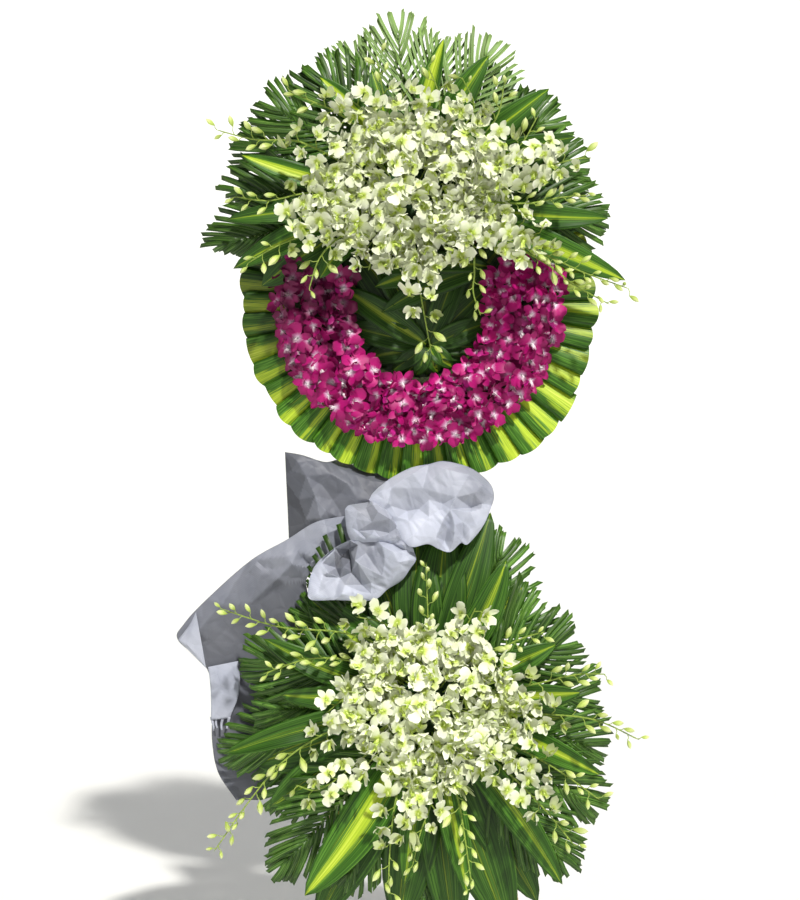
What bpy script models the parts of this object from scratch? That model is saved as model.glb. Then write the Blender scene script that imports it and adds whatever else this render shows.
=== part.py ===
"""A standing funeral wreath, modelled in metres with +Z up.

A tripod of three poles holds a round board that leans back. Pleated leaves rim
the board, a horseshoe of magenta orchids covers it, and two bunches of white
orchids, palm fronds and striped leaves sit on foam: one over the top of the
board and one lower down on the stand. A cloth bow is tied between them.

Everything in front of the legs is laid out in the leaning plane of the board,
by u to the right, v up the plane and w out towards the viewer. The empty
"wreath_plane" holds that plane, so an object under it has local x = u,
y = -w and z = v.
"""

import math
import random

import bmesh
import bpy
from mathutils import Matrix, Vector

# Driving dimensions of the stand
LEAN = math.radians(9.0)  # how far the front plane leans back
POLE_R = 0.0125
POLE_SIDES = 16
GAP = 0.0003  # between pieces that touch
FOOT_U = 0.18  # half the spread of the front feet
APEX_U = 0.045  # half the spread of the legs at their tops
APEX_V = 1.50
REAR_FOOT_BACK = 0.54  # the rear foot, behind the front feet
BELOW_FLOOR = 0.03  # poles run this far through the floor before they are cut
REAR_TOP = 0.05  # of the rear leg, past the top bar
BAR_TOP_V = 1.44
BAR_UPPER_V = 0.862
BAR_MIDDLE_V = 0.55
BAR_OVERHANG = 0.018

# The round board, its rim of pleated leaves and the leaves at its centre
DISC_U, DISC_V = -0.0035, 1.2495
BOARD_R = 0.262
BOARD_T = 0.020
RIM_IN, RIM_MID, RIM_OUT = 0.238, 0.284, 0.3115
RIM_LEAVES = 45
RIM_ARCS = 3
RIM_SCALLOP = 0.008
RIM_PLEAT = 0.011
RIM_RISE, RIM_FALL = 0.004, -0.010  # of the leaf at its middle and its outer edge
BLADE_T = 0.0015  # thickness of every leaf
FAN_U, FAN_V = 0.014, 1.1725
FAN_R = 0.114
FAN_LEAVES = 16
FAN_PLEAT = 0.010
FAN_SCALLOP = 0.93
# Leaves across the top of the fan: direction in degrees, length, width
ACROSS_U, ACROSS_V = 0.092, 1.306
ACROSS_ROOT = 0.030
ACROSS_LEAVES = ((176, 0.168, 0.030), (192, 0.178, 0.034), (208, 0.184, 0.036))
ACROSS_RISE = 0.007  # each leaf lies this far above the one before
ACROSS_FOLD = 0.004

# The horseshoe of magenta orchids
RING_IN, RING_OUT = 0.120, 0.232
RING_FROM, RING_TO = 158.0, 382.0
RING_ARCS = 3
RING_T = 0.020
RING_ROWS = (0.134, 0.172, 0.210, 0.243)
BLOSSOM_PITCH = 0.050
ARC_MARGIN = 0.0315  # a blossom's centre keeps this far from the end of its arc
RING_FLARE = 6.0  # how fast blossoms turn away from the middle row, per metre
ROOT_DEPTH = 0.004
BLOSSOM_R = 0.029
BLOSSOM_STAND = 0.014  # how far a blossom stands off what it grows from
BLOSSOM_STEP = 0.009  # neighbours stand at three heights, this far apart

# The two bunches: where their foam sits, and the height of each layer above it
TOP_U, TOP_V, TOP_W = -0.0175, 1.4255, BOARD_T + GAP
LOW_U, LOW_V, LOW_W = 0.0175, 0.551, 0.0126
LOW_BOARD = (0.40, 0.012, 0.10)
FOAM_R = 0.060
FOAM_T = 0.112
FOAM_SIDES = 32
# height at the foam, slope and droop of the bowl that the layer lies on
BACK_LAYER = (0.036, 0.10, 0.40)
FRONT_LAYER = (0.052, 0.14, 0.40)
LEAF_LAYER = (0.068, 0.22, 0.50)
SPRAY_LAYER = (0.092, 0.35, 0.60)
HEAD_R, HEAD_H = 0.075, 0.060
HEAD_BLOSSOMS = 16
HEAD_SPREAD = 0.62  # the share of the dome's height that blossoms stand on

# Palm fronds: direction in degrees, length without the last leaflet, layer
FRONDS_TOP = [
    (194, 0.268, FRONT_LAYER),
    (160, 0.222, BACK_LAYER),
    (126, 0.190, FRONT_LAYER),
    (94, 0.228, BACK_LAYER),
    (62, 0.215, FRONT_LAYER),
    (30, 0.205, BACK_LAYER),
    (-6, 0.245, FRONT_LAYER),
]
FRONDS_LOW = [
    (64, 0.218, BACK_LAYER),
    (24, 0.175, FRONT_LAYER),
    (-16, 0.220, BACK_LAYER),
    (-50, 0.290, FRONT_LAYER),
    (-92, 0.280, BACK_LAYER),
    (-132, 0.310, FRONT_LAYER),
    (195, 0.282, BACK_LAYER),
    (166, 0.235, FRONT_LAYER),
    (128, 0.225, BACK_LAYER),
]
FROND_PAIRS = 10
FROND_REACH = 0.112
FROND_STALK = 0.035
FROND_TIP = 0.045
RIB_AT_FOAM, RIB_AT_TIP = 0.0045, 0.0015  # half widths of the midrib
LEAN_AT_FOAM, LEAN_AT_TIP = 56, 26  # degrees from the midrib to a leaflet

# Striped leaves: direction in degrees, length from the foam, greatest width
LEAVES_TOP = {
    "left": [(166, 0.24, 0.040), (187, 0.26, 0.040), (202, 0.27, 0.044), (222, 0.17, 0.040)],
    "up": [(127, 0.20, 0.040), (107, 0.17, 0.044), (78, 0.22, 0.044), (61, 0.22, 0.046)],
    "right": [(38, 0.245, 0.044), (20, 0.245, 0.042), (-6, 0.285, 0.044), (-21, 0.34, 0.046)],
}
LEAVES_LOW = {
    "left": [(140, 0.15, 0.044), (159, 0.25, 0.044), (177, 0.20, 0.044), (194, 0.31, 0.044)],
    "down": [(237, 0.34, 0.074), (262, 0.26, 0.046), (281, 0.28, 0.046), (306, 0.33, 0.050)],
    "right": [(-23, 0.26, 0.044), (4, 0.20, 0.046), (25, 0.18, 0.046), (62, 0.22, 0.052)],
}
LEAF_STATIONS = ((0.3, 0.85), (0.55, 1.0), (0.82, 0.6))  # share of length, of width
LEAF_ROOT = 0.006  # half the width where a leaf joins its collar
LEAF_FOLD = 0.16
COLLAR = 0.010
COLLAR_STEP = 15.0

# White sprays: direction in degrees, length from the foam, bend in degrees
SPRAYS_TOP = [
    (158, 0.285, 6),
    (206, 0.230, 8),
    (116, 0.180, 4),
    (52, 0.190, -8),
    (-8, 0.335, -22),
    (-86, 0.195, 2),
]
SPRAYS_LOW = [
    (152, 0.320, 10),
    (209, 0.385, 10),
    (258, 0.290, 4),
    (-50, 0.290, 6),
    (-12, 0.290, 4),
    (34, 0.165, -6),
    (88, 0.165, 0),
]
STEM_R = 0.0026
SPRAY_BLOSSOMS = 5
SPRAY_OUT, SPRAY_ASIDE, SPRAY_AHEAD = 0.017, 0.019, 0.006  # from the stem to a blossom
SPRAY_BUDS = 5
FIRST_BLOSSOM = 0.110  # along the stem, where the head's own blossoms end
BLOSSOM_SPACING = 0.038
SPRAY_BLOSSOM_R = 0.027
STEM_STEPS = 6
STEM_SEAT = 0.0012  # a stem slopes, so the corner of its end face lies nearer the foam
BUD_L, BUD_R = 0.020, 0.0052

# The bow: its knot, its loops and the outlines of its two tails
KNOT = ((-0.064, BAR_UPPER_V, 0.058), (0.056, 0.044, 0.034), 0)
LOOP_RIGHT = ((0.036, 0.886, 0.082), (0.094, 0.072, 0.032), 8)
LOOP_LEFT = ((-0.106, 0.776, 0.088), (0.096, 0.050, 0.030), 30)
CLOTH_T = 0.0030
TAIL_UP_SIDES = [
    [(-0.240, 0.985), (-0.176, 0.966), (-0.126, 0.950), (-0.080, 0.910)],
    [(-0.229, 0.836), (-0.180, 0.846), (-0.130, 0.862), (-0.080, 0.872)],
]
TAIL_UP_W = [0.030, 0.029, 0.0275, 0.029]
TAIL_LONG_SIDES = [
    [(-0.075, 0.862), (-0.140, 0.864), (-0.215, 0.845), (-0.297, 0.794), (-0.367, 0.742)]
    + [(-0.418, 0.672), (-0.398, 0.620), (-0.371, 0.560), (-0.364, 0.490), (-0.345, 0.400)],
    [(-0.075, 0.820), (-0.120, 0.806), (-0.168, 0.760), (-0.212, 0.715), (-0.250, 0.688)],
]
TAIL_LONG_SIDES[1] += [(-0.285, 0.655), (-0.300, 0.610), (-0.305, 0.550), (-0.305, 0.480)]
TAIL_LONG_SIDES[1] += [(-0.310, 0.400)]
TAIL_LONG_W = [0.047, 0.043, 0.039, 0.028, 0.020, 0.012, 0.012, 0.008, 0.010, 0.008]
CLOTH_WAVE = 0.0015

SEED = 8


def clear_scene():
    for item in list(bpy.data.objects):
        bpy.data.objects.remove(item, do_unlink=True)


clear_scene()
random.seed(SEED)
wreath = bpy.data.collections.new("funeral_wreath")
cutters = bpy.data.collections.new("cutters")
bpy.context.scene.collection.children.link(wreath)
bpy.context.scene.collection.children.link(cutters)


def material(name, rgb, roughness, metallic=0.0):
    made = bpy.data.materials.new(name)
    made.use_nodes = True
    shader = made.node_tree.nodes["Principled BSDF"]
    shader.inputs["Base Color"].default_value = (*rgb, 1.0)
    shader.inputs["Roughness"].default_value = roughness
    shader.inputs["Metallic"].default_value = metallic
    return made


BAMBOO = material("bamboo pole", (0.42, 0.27, 0.11), 0.6)
BOARD = material("backing board", (0.30, 0.24, 0.17), 0.8)
FOAM = material("floral foam", (0.03, 0.14, 0.05), 0.95)
PALM = material("palm leaf", (0.06, 0.20, 0.04), 0.55)
STRIPED = material("striped leaf", (0.16, 0.30, 0.05), 0.45)
WHITE = material("white orchid", (0.80, 0.84, 0.66), 0.5)
MAGENTA = material("magenta orchid", (0.38, 0.01, 0.20), 0.5)
CLOTH = material("white organza", (0.70, 0.72, 0.78), 0.7)


def empty(name, parent=None):
    made = bpy.data.objects.new(name, None)
    made.parent = parent
    wreath.objects.link(made)
    return made


root = empty("wreath_root")
plane = empty("wreath_plane", root)
plane.rotation_euler.x = -LEAN


def place(u, v, w):
    """A point of the leaning plane in the local axes of the wreath_plane empty."""
    return Vector((u, -w, v))


def add_object(name, mesh, finish, parent=plane, smooth=False):
    made = bpy.data.objects.new(name, mesh)
    mesh.materials.append(finish)
    made.parent = parent
    wreath.objects.link(made)
    if smooth:
        mesh.shade_smooth()
        mesh.set_sharp_from_angle(angle=math.radians(40))
    return made


def mesh_from(bm, name):
    mesh = bpy.data.meshes.new(name)
    bm.to_mesh(mesh)
    bm.free()
    return mesh


# The stand


def pole(name, start, end, parent=plane):
    """A round pole between two points given in its parent's axes."""
    along = end - start
    bm = bmesh.new()
    bmesh.ops.create_cone(
        bm,
        cap_ends=True,
        segments=POLE_SIDES,
        radius1=POLE_R,
        radius2=POLE_R,
        depth=along.length,
    )
    made = add_object(name, mesh_from(bm, name), BAMBOO, parent, smooth=True)
    made.location = (start + end) / 2
    made.rotation_mode = "QUATERNION"
    made.rotation_quaternion = along.to_track_quat("Z", "Y")
    return made


def floor_cutter():
    """A slab under the floor that cuts the feet flat."""
    bm = bmesh.new()
    bmesh.ops.create_cube(bm, size=1.0)
    made = bpy.data.objects.new("floor_cutter", mesh_from(bm, "floor_cutter"))
    cutters.objects.link(made)
    made.parent = root
    made.scale = (2.0, 2.0, 0.2)
    made.location = (0.0, 0.3, -0.1)
    made.hide_render = True
    made.display_type = "WIRE"
    return made


def cut(target, cutter):
    step = target.modifiers.new("cut by " + cutter.name, "BOOLEAN")
    step.operation = "DIFFERENCE"
    step.solver = "EXACT"
    step.object = cutter


def make_stand():
    leg_w = -(POLE_R + GAP)
    behind_w = leg_w - 2 * POLE_R - GAP
    floor = floor_cutter()
    slope = (FOOT_U - APEX_U) / APEX_V
    for side, name in ((-1, "leg_left"), (1, "leg_right")):
        foot = place(side * (FOOT_U + slope * BELOW_FLOOR), -BELOW_FLOOR, leg_w)
        leg = pole(name, foot, place(side * APEX_U, APEX_V, leg_w))
        cut(leg, floor)
    bars = (
        ("bar_top", BAR_TOP_V, behind_w),
        ("bar_upper", BAR_UPPER_V, POLE_R + GAP),
        ("bar_middle", BAR_MIDDLE_V, behind_w),
    )
    for name, v, w in bars:
        reach = FOOT_U - slope * v + BAR_OVERHANG
        pole(name, place(-reach, v, w), place(reach, v, w))
    # the rear leg leans on the back of the top bar, in the upright plane x = 0
    bar = Matrix.Rotation(-LEAN, 3, "X") @ place(0.0, BAR_TOP_V, behind_w)
    run, drop = REAR_FOOT_BACK - bar.y, bar.z
    tilt = math.atan2(run, drop)
    down = Vector((0.0, math.sin(tilt), -math.cos(tilt)))
    seat = bar + (2 * POLE_R + GAP) * Vector((0.0, math.cos(tilt), math.sin(tilt)))
    top = seat - REAR_TOP * down
    foot = seat + (seat.z + BELOW_FLOOR) / math.cos(tilt) * down
    cut(pole("leg_rear", foot, top, root), floor)


# Blades: open surfaces that Solidify makes into thin leaves


def solid_blade(name, points, faces, finish, thickness=BLADE_T):
    """A leaf from points (u, v, w) and the faces between them, thickened
    towards the viewer. The faces are made triangles first, so that both sides
    of a waved blade are split alike."""
    bm = bmesh.new()
    spots = [bm.verts.new(place(*p)) for p in points]
    for face in faces:
        bm.faces.new([spots[i] for i in face])
    bmesh.ops.triangulate(bm, faces=bm.faces[:])
    bm.normal_update()
    backwards = [f for f in bm.faces if f.normal.y > 0]
    bmesh.ops.reverse_faces(bm, faces=backwards)
    made = add_object(name, mesh_from(bm, name), finish)
    shell = made.modifiers.new("thickness", "SOLIDIFY")
    shell.thickness = thickness
    shell.offset = 1.0
    return made


def grid_faces(rows, columns):
    """Quads of a grid of points that is stored row by row."""
    return [
        (r * columns + c, r * columns + c + 1, (r + 1) * columns + c + 1, (r + 1) * columns + c)
        for r in range(rows - 1)
        for c in range(columns - 1)
    ]


def round_disc(radius, angle):
    return DISC_U + radius * math.cos(angle), DISC_V + radius * math.sin(angle)


def make_rim():
    """Pleats round the board: each leaf is a ridge between two valleys, and the
    ridges stand out past the valleys as scallops. The arcs part at ridges."""
    seat = BOARD_T + GAP
    pitch = 2 * math.pi / RIM_LEAVES
    each = RIM_LEAVES // RIM_ARCS
    for arc in range(RIM_ARCS):
        points = []
        first = arc * each
        for step in range(2 * each + 1):
            angle = (first + (step + 1) / 2) * pitch
            if step == 0:
                angle += GAP / 2 / RIM_IN
            if step == 2 * each:
                angle -= GAP / 2 / RIM_IN
            ridge = (step + 1) % 2
            rows = (
                (RIM_IN, seat + ridge * RIM_PLEAT),
                (RIM_MID, seat + RIM_RISE + ridge * RIM_PLEAT),
                (RIM_OUT - (1 - ridge) * RIM_SCALLOP, seat + RIM_FALL + ridge * RIM_PLEAT),
            )
            points += [(*round_disc(radius, angle), w) for radius, w in rows]
        solid_blade(f"rim_{arc + 1}", points, grid_faces(2 * each + 1, 3), STRIPED)


def make_centre_fan():
    """Pleated leaves that open from a point low on the board and fill the
    middle of the horseshoe."""
    seat = BOARD_T + GAP
    off_u, off_v = FAN_U - DISC_U, FAN_V - DISC_V
    points = [(FAN_U, FAN_V, seat + FAN_PLEAT / 2)]
    count = 2 * FAN_LEAVES
    for step in range(count):
        angle = 2 * math.pi * step / count
        along = off_u * math.cos(angle) + off_v * math.sin(angle)
        aside = FAN_R**2 - (off_u**2 + off_v**2 - along**2)
        reach = math.sqrt(aside) - along
        ridge = step % 2
        reach *= 1.0 if ridge else FAN_SCALLOP
        w = seat + ridge * FAN_PLEAT
        points.append((FAN_U + reach * math.cos(angle), FAN_V + reach * math.sin(angle), w))
    faces = [(0, 1 + k, 1 + (k + 1) % count) for k in range(count)]
    solid_blade("centre_fan", points, faces, STRIPED)


def make_centre_leaves():
    """Three long leaves that lie across the top of the fan, joined where they
    start at its right edge."""
    seat = BOARD_T + GAP + FAN_PLEAT + BLADE_T + GAP
    start = Vector((ACROSS_U, ACROSS_V))
    points, faces = [], []
    for k, (degrees, length, width) in enumerate(ACROSS_LEAVES):
        angle = math.radians(degrees)
        ahead = Vector((math.cos(angle), math.sin(angle)))
        side = Vector((-ahead.y, ahead.x))
        first = len(points)
        for t, spread in ((0.0, 0.2), (0.3, 0.9), (0.6, 1.0), (0.85, 0.6)):
            lift = min(1.0, 3 * t)
            middle = start + ahead * (ACROSS_ROOT + t * length)
            for across in (-1, 0, 1):
                spot = middle + side * (across * spread * width / 2)
                rise = lift * (ACROSS_RISE * k + ACROSS_FOLD * abs(across))
                points.append((spot.x, spot.y, seat + rise))
        tip = start + ahead * (ACROSS_ROOT + length)
        points.append((tip.x, tip.y, seat + ACROSS_RISE * k))
        faces += [tuple(first + i for i in f) for f in grid_faces(4, 3)]
        end = first + 9
        faces += [(end, end + 1, end + 3), (end + 1, end + 2, end + 3)]
    per_leaf = len(points) // len(ACROSS_LEAVES)
    hub = len(points)
    points.append((*start, seat))
    for k in range(len(ACROSS_LEAVES)):
        base = k * per_leaf
        faces += [(hub, base, base + 1), (hub, base + 1, base + 2)]
        if k + 1 < len(ACROSS_LEAVES):
            faces.append((hub, base + 2, base + per_leaf))
    solid_blade("centre_leaves", points, faces, STRIPED)


# Bunches


class Bunch:
    """The foam of one bunch, and the bowls round it that its layers lie on."""

    def __init__(self, name, u, v, w):
        self.name, self.u, self.v, self.w = name, u, v, w

    def height(self, layer, u, v):
        """How far out a layer lies at (u, v)."""
        start, slope, droop = layer
        out = math.hypot(u - self.u, v - self.v) - FOAM_R
        return self.w + start + slope * out - droop * out * out

    def path(self, degrees, start, lengths, bend=0.0):
        """Points (u, v) along a line that leaves the foam in a direction and
        turns evenly by bend degrees."""
        angle = math.radians(degrees)
        u = self.u + start * math.cos(angle)
        v = self.v + start * math.sin(angle)
        total, done = sum(lengths), 0.0
        spots, headings = [Vector((u, v))], [angle]
        for length in lengths:
            done += length
            heading = angle + math.radians(bend) * (done - length / 2) / total
            u += length * math.cos(heading)
            v += length * math.sin(heading)
            spots.append(Vector((u, v)))
            headings.append(angle + math.radians(bend) * done / total)
        return spots, headings


TOP = Bunch("top", TOP_U, TOP_V, TOP_W)
LOW = Bunch("low", LOW_U, LOW_V, LOW_W)


def make_foam(bunch):
    bm = bmesh.new()
    bmesh.ops.create_cone(
        bm,
        cap_ends=True,
        segments=FOAM_SIDES,
        radius1=FOAM_R,
        radius2=FOAM_R,
        depth=FOAM_T,
        matrix=Matrix.Rotation(math.radians(90), 4, "X"),
    )
    made = add_object("foam_" + bunch.name, mesh_from(bm, "foam"), FOAM, smooth=True)
    made.location = place(bunch.u, bunch.v, bunch.w + FOAM_T / 2)


def make_frond(bunch, number, degrees, length, layer):
    """A palm frond as one arched comb: a narrow midrib with a pointed leaflet
    on each side of every step along it."""
    step = (length - FROND_STALK) / (FROND_PAIRS + 1)
    lengths = [FROND_STALK] + [step] * FROND_PAIRS
    spots, headings = bunch.path(degrees, FOAM_R + GAP, lengths)
    lean_change = LEAN_AT_TIP - LEAN_AT_FOAM
    flat, faces = [], []
    for k, (spot, heading) in enumerate(zip(spots, headings)):
        half = RIB_AT_FOAM + (RIB_AT_TIP - RIB_AT_FOAM) * k / (FROND_PAIRS + 1)
        side = Vector((-math.sin(heading), math.cos(heading)))
        flat += [spot + half * side, spot - half * side]
    for k in range(FROND_PAIRS + 1):
        faces.append((2 * k, 2 * k + 2, 2 * k + 3, 2 * k + 1))
    for k in range(1, FROND_PAIRS + 1):
        t = k / (FROND_PAIRS + 1)
        reach = FROND_REACH * math.sin(math.pi * (0.22 + 0.66 * t))
        for side in (1, -1):
            base = 0 if side > 0 else 1
            lean = headings[k] + side * math.radians(LEAN_AT_FOAM + lean_change * t)
            middle = (flat[2 * k + base] + flat[2 * k + 2 + base]) / 2
            flat.append(middle + reach * Vector((math.cos(lean), math.sin(lean))))
            faces.append((2 * k + base, 2 * k + 2 + base, len(flat) - 1))
    last = 2 * (FROND_PAIRS + 1)
    ahead = Vector((math.cos(headings[-1]), math.sin(headings[-1])))
    flat.append(spots[-1] + FROND_TIP * ahead)
    faces.append((last, last + 1, len(flat) - 1))
    points = [(p.x, p.y, bunch.height(layer, p.x, p.y)) for p in flat]
    solid_blade(f"frond_{bunch.name}_{number}", points, faces, PALM)


def make_leaves(bunch, name, leaves):
    """Striped leaves that share a narrow collar of leaf base round the foam."""
    leaves = sorted(leaves)
    root = math.degrees(LEAF_ROOT / (FOAM_R + COLLAR))
    columns = [(leaves[0][0] - root - 2, None)]
    for k, (degrees, _, _) in enumerate(leaves):
        columns += [(degrees - root, k), (degrees, k), (degrees + root, k)]
        if k + 1 < len(leaves):
            free = leaves[k + 1][0] - degrees - 2 * root
            extra = int(free // COLLAR_STEP)
            for j in range(extra):
                columns.append((degrees + root + free * (j + 1) / (extra + 1), None))
    columns.append((leaves[-1][0] + root + 2, None))
    inner = (FOAM_R + GAP) / math.cos(math.radians(COLLAR_STEP / 2))
    flat = []
    for degrees, _ in columns:
        ahead = Vector((math.cos(math.radians(degrees)), math.sin(math.radians(degrees))))
        flat += [Vector((bunch.u, bunch.v)) + r * ahead for r in (inner, FOAM_R + COLLAR)]
    folds = [0.0] * len(flat)
    faces = grid_faces(len(columns), 2)
    for k, (degrees, length, width) in enumerate(leaves):
        roots = [2 * i + 1 for i, column in enumerate(columns) if column[1] == k]
        angle = math.radians(degrees)
        ahead = Vector((math.cos(angle), math.sin(angle)))
        side = Vector((-ahead.y, ahead.x))
        previous = roots
        for t, spread in LEAF_STATIONS:
            row = []
            for across in (-1, 0, 1):
                reach = FOAM_R + COLLAR + t * (length - COLLAR)
                half = across * spread * width / 2
                row.append(len(flat))
                flat.append(Vector((bunch.u, bunch.v)) + reach * ahead + half * side)
                folds.append(LEAF_FOLD * abs(half))
            faces += [
                (previous[0], previous[1], row[1], row[0]),
                (previous[1], previous[2], row[2], row[1]),
            ]
            previous = row
        flat.append(Vector((bunch.u, bunch.v)) + (FOAM_R + length) * ahead)
        folds.append(0.0)
        tip = len(flat) - 1
        faces += [(previous[0], previous[1], tip), (previous[1], previous[2], tip)]
    points = [
        (p.x, p.y, bunch.height(LEAF_LAYER, p.x, p.y) + fold) for p, fold in zip(flat, folds)
    ]
    solid_blade(f"leaves_{bunch.name}_{name}", points, faces, STRIPED)


# Orchids


def blossom(centre, facing, roll, root, radius=BLOSSOM_R):
    """A closed orchid of five petals on a three-sided stalk that ends at root.
    The rim of fifteen points goes notch, shoulder, shoulder round the petals."""
    facing = facing.normalized()
    across = facing.orthogonal().normalized()
    across.rotate(Matrix.Rotation(roll, 3, facing))
    up = facing.cross(across)
    bm = bmesh.new()

    def spot(distance, angle, height):
        flat = distance * (math.cos(angle) * across + math.sin(angle) * up)
        return bm.verts.new(centre + flat + height * facing)

    rim = []
    for petal in range(5):
        middle = 2 * math.pi * petal / 5
        lift = 0.16 * radius if petal % 2 else -0.04 * radius
        rim.append(spot(0.42 * radius, middle - math.pi / 5, 0.0))
        rim.append(spot(radius, middle - 0.36, lift))
        rim.append(spot(radius, middle + 0.36, lift))
    front = spot(0.0, 0.0, -0.12 * radius)
    ring = [spot(0.10 * radius, 2 * math.pi * (5 * k + 2) / 15, -0.36 * radius) for k in range(3)]
    shift = root - centre + 0.36 * radius * facing
    ends = [bm.verts.new(v.co + shift) for v in ring]
    for k in range(15):
        here, after = rim[k], rim[(k + 1) % 15]
        bm.faces.new((front, here, after))
        bm.faces.new((after, here, ring[k // 5]))
    for k in range(3):
        bm.faces.new((rim[(5 * k + 5) % 15], ring[k], ring[(k + 1) % 3]))
        bm.faces.new((ring[(k + 1) % 3], ring[k], ends[k], ends[(k + 1) % 3]))
    bm.faces.new(ends[::-1])
    bmesh.ops.recalc_face_normals(bm, faces=bm.faces[:])
    return mesh_from(bm, "blossom")


def bud(root, direction, length=BUD_L, radius=BUD_R):
    """A closed bud: two four-sided points, the lower one sunk in its stem."""
    direction = direction.normalized()
    across = direction.orthogonal().normalized()
    up = direction.cross(across)
    bm = bmesh.new()
    low = bm.verts.new(root - 0.15 * length * direction)
    high = bm.verts.new(root + length * direction)
    turns = (across, up, -across, -up)
    ring = [bm.verts.new(root + 0.45 * length * direction + radius * t) for t in turns]
    for k in range(4):
        bm.faces.new((low, ring[(k + 1) % 4], ring[k]))
        bm.faces.new((high, ring[k], ring[(k + 1) % 4]))
    bmesh.ops.recalc_face_normals(bm, faces=bm.faces[:])
    return mesh_from(bm, "bud")


def keep_largest(bm):
    """Drops loose scraps and the walls of sealed hollows: all but the body
    with the most faces."""
    left, bodies = set(bm.verts), []
    while left:
        body, front = set(), [next(iter(left))]
        while front:
            vert = front.pop()
            if vert not in body:
                body.add(vert)
                front += [edge.other_vert(vert) for edge in vert.link_edges]
        left -= body
        bodies.append(body)
    bodies.sort(key=len)
    scraps = [vert for body in bodies[:-1] for vert in body]
    bmesh.ops.delete(bm, geom=scraps, context="VERTS")


def fuse(name, core, repeats, finish):
    """Joins repeats, roots sunk in the core, into one body."""
    group = bpy.data.collections.new(name + " repeats")
    cutters.children.link(group)
    for mesh in repeats:
        item = bpy.data.objects.new("repeat", mesh)
        group.objects.link(item)
    base = bpy.data.objects.new(name + " core", core)
    cutters.objects.link(base)
    join = base.modifiers.new("join", "BOOLEAN")
    join.operation = "UNION"
    join.solver = "MANIFOLD"
    join.operand_type = "COLLECTION"
    join.collection = group
    bpy.context.view_layer.update()
    shape = base.evaluated_get(bpy.context.evaluated_depsgraph_get())
    mesh = bpy.data.meshes.new_from_object(shape)
    for item in list(group.objects) + [base]:
        bpy.data.objects.remove(item, do_unlink=True)
    bpy.data.collections.remove(group)
    mesh.name = name
    mesh.materials.clear()
    bm = bmesh.new()
    bm.from_mesh(mesh)
    keep_largest(bm)
    bmesh.ops.triangulate(bm, faces=bm.faces[:])
    bm.to_mesh(mesh)
    bm.free()
    return add_object(name, mesh, finish)


def ring_core(start, end, segments):
    """A band of the horseshoe between two angles, as a closed box section."""
    seat = BOARD_T + GAP
    bm = bmesh.new()
    sections = []
    for k in range(segments + 1):
        angle = math.radians(start + (end - start) * k / segments)
        corners = (
            (RING_IN, seat),
            (RING_OUT, seat),
            (RING_OUT, seat + RING_T),
            (RING_IN, seat + RING_T),
        )
        spots = [place(*round_disc(radius, angle), w) for radius, w in corners]
        sections.append([bm.verts.new(p) for p in spots])
    for a, b in zip(sections, sections[1:]):
        for k in range(4):
            bm.faces.new((a[k], a[(k + 1) % 4], b[(k + 1) % 4], b[k]))
    bm.faces.new(sections[0][::-1])
    bm.faces.new(sections[-1])
    bmesh.ops.recalc_face_normals(bm, faces=bm.faces[:])
    return mesh_from(bm, "ring core")


def make_ring():
    """The horseshoe: rows of magenta orchids on a band, in equal arcs."""
    span = (RING_TO - RING_FROM) / RING_ARCS
    for arc in range(RING_ARCS):
        start = RING_FROM + arc * span
        half_gap = math.degrees(GAP / 2 / RING_IN)
        core = ring_core(start + half_gap, start + span - half_gap, 6)
        flowers = []
        for row, radius in enumerate(RING_ROWS):
            edge = math.degrees(ARC_MARGIN / radius)
            room = math.radians(span - 2 * edge) * radius
            count = max(2, round(room / BLOSSOM_PITCH) + 1)
            for k in range(count):
                share = k / (count - 1)
                degrees = start + edge + (span - 2 * edge) * share
                angle = math.radians(degrees)
                outward = Vector((math.cos(angle), 0.0, math.sin(angle)))
                lean = (radius - sum(RING_ROWS) / len(RING_ROWS)) * RING_FLARE
                facing = Vector((0.0, -1.0, 0.0)) + lean * outward
                seat_r = min(radius, RING_OUT - 0.006)
                root = place(*round_disc(seat_r, angle), BOARD_T + RING_T - ROOT_DEPTH)
                rise = BOARD_T + RING_T + BLOSSOM_STAND + BLOSSOM_STEP * ((k + row) % 3)
                centre = place(*round_disc(radius, angle), rise)
                roll = random.uniform(0, 2 * math.pi)
                flowers.append(blossom(centre, facing, roll, root))
        fuse(f"blossoms_{arc + 1}", core, flowers, MAGENTA)


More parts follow.
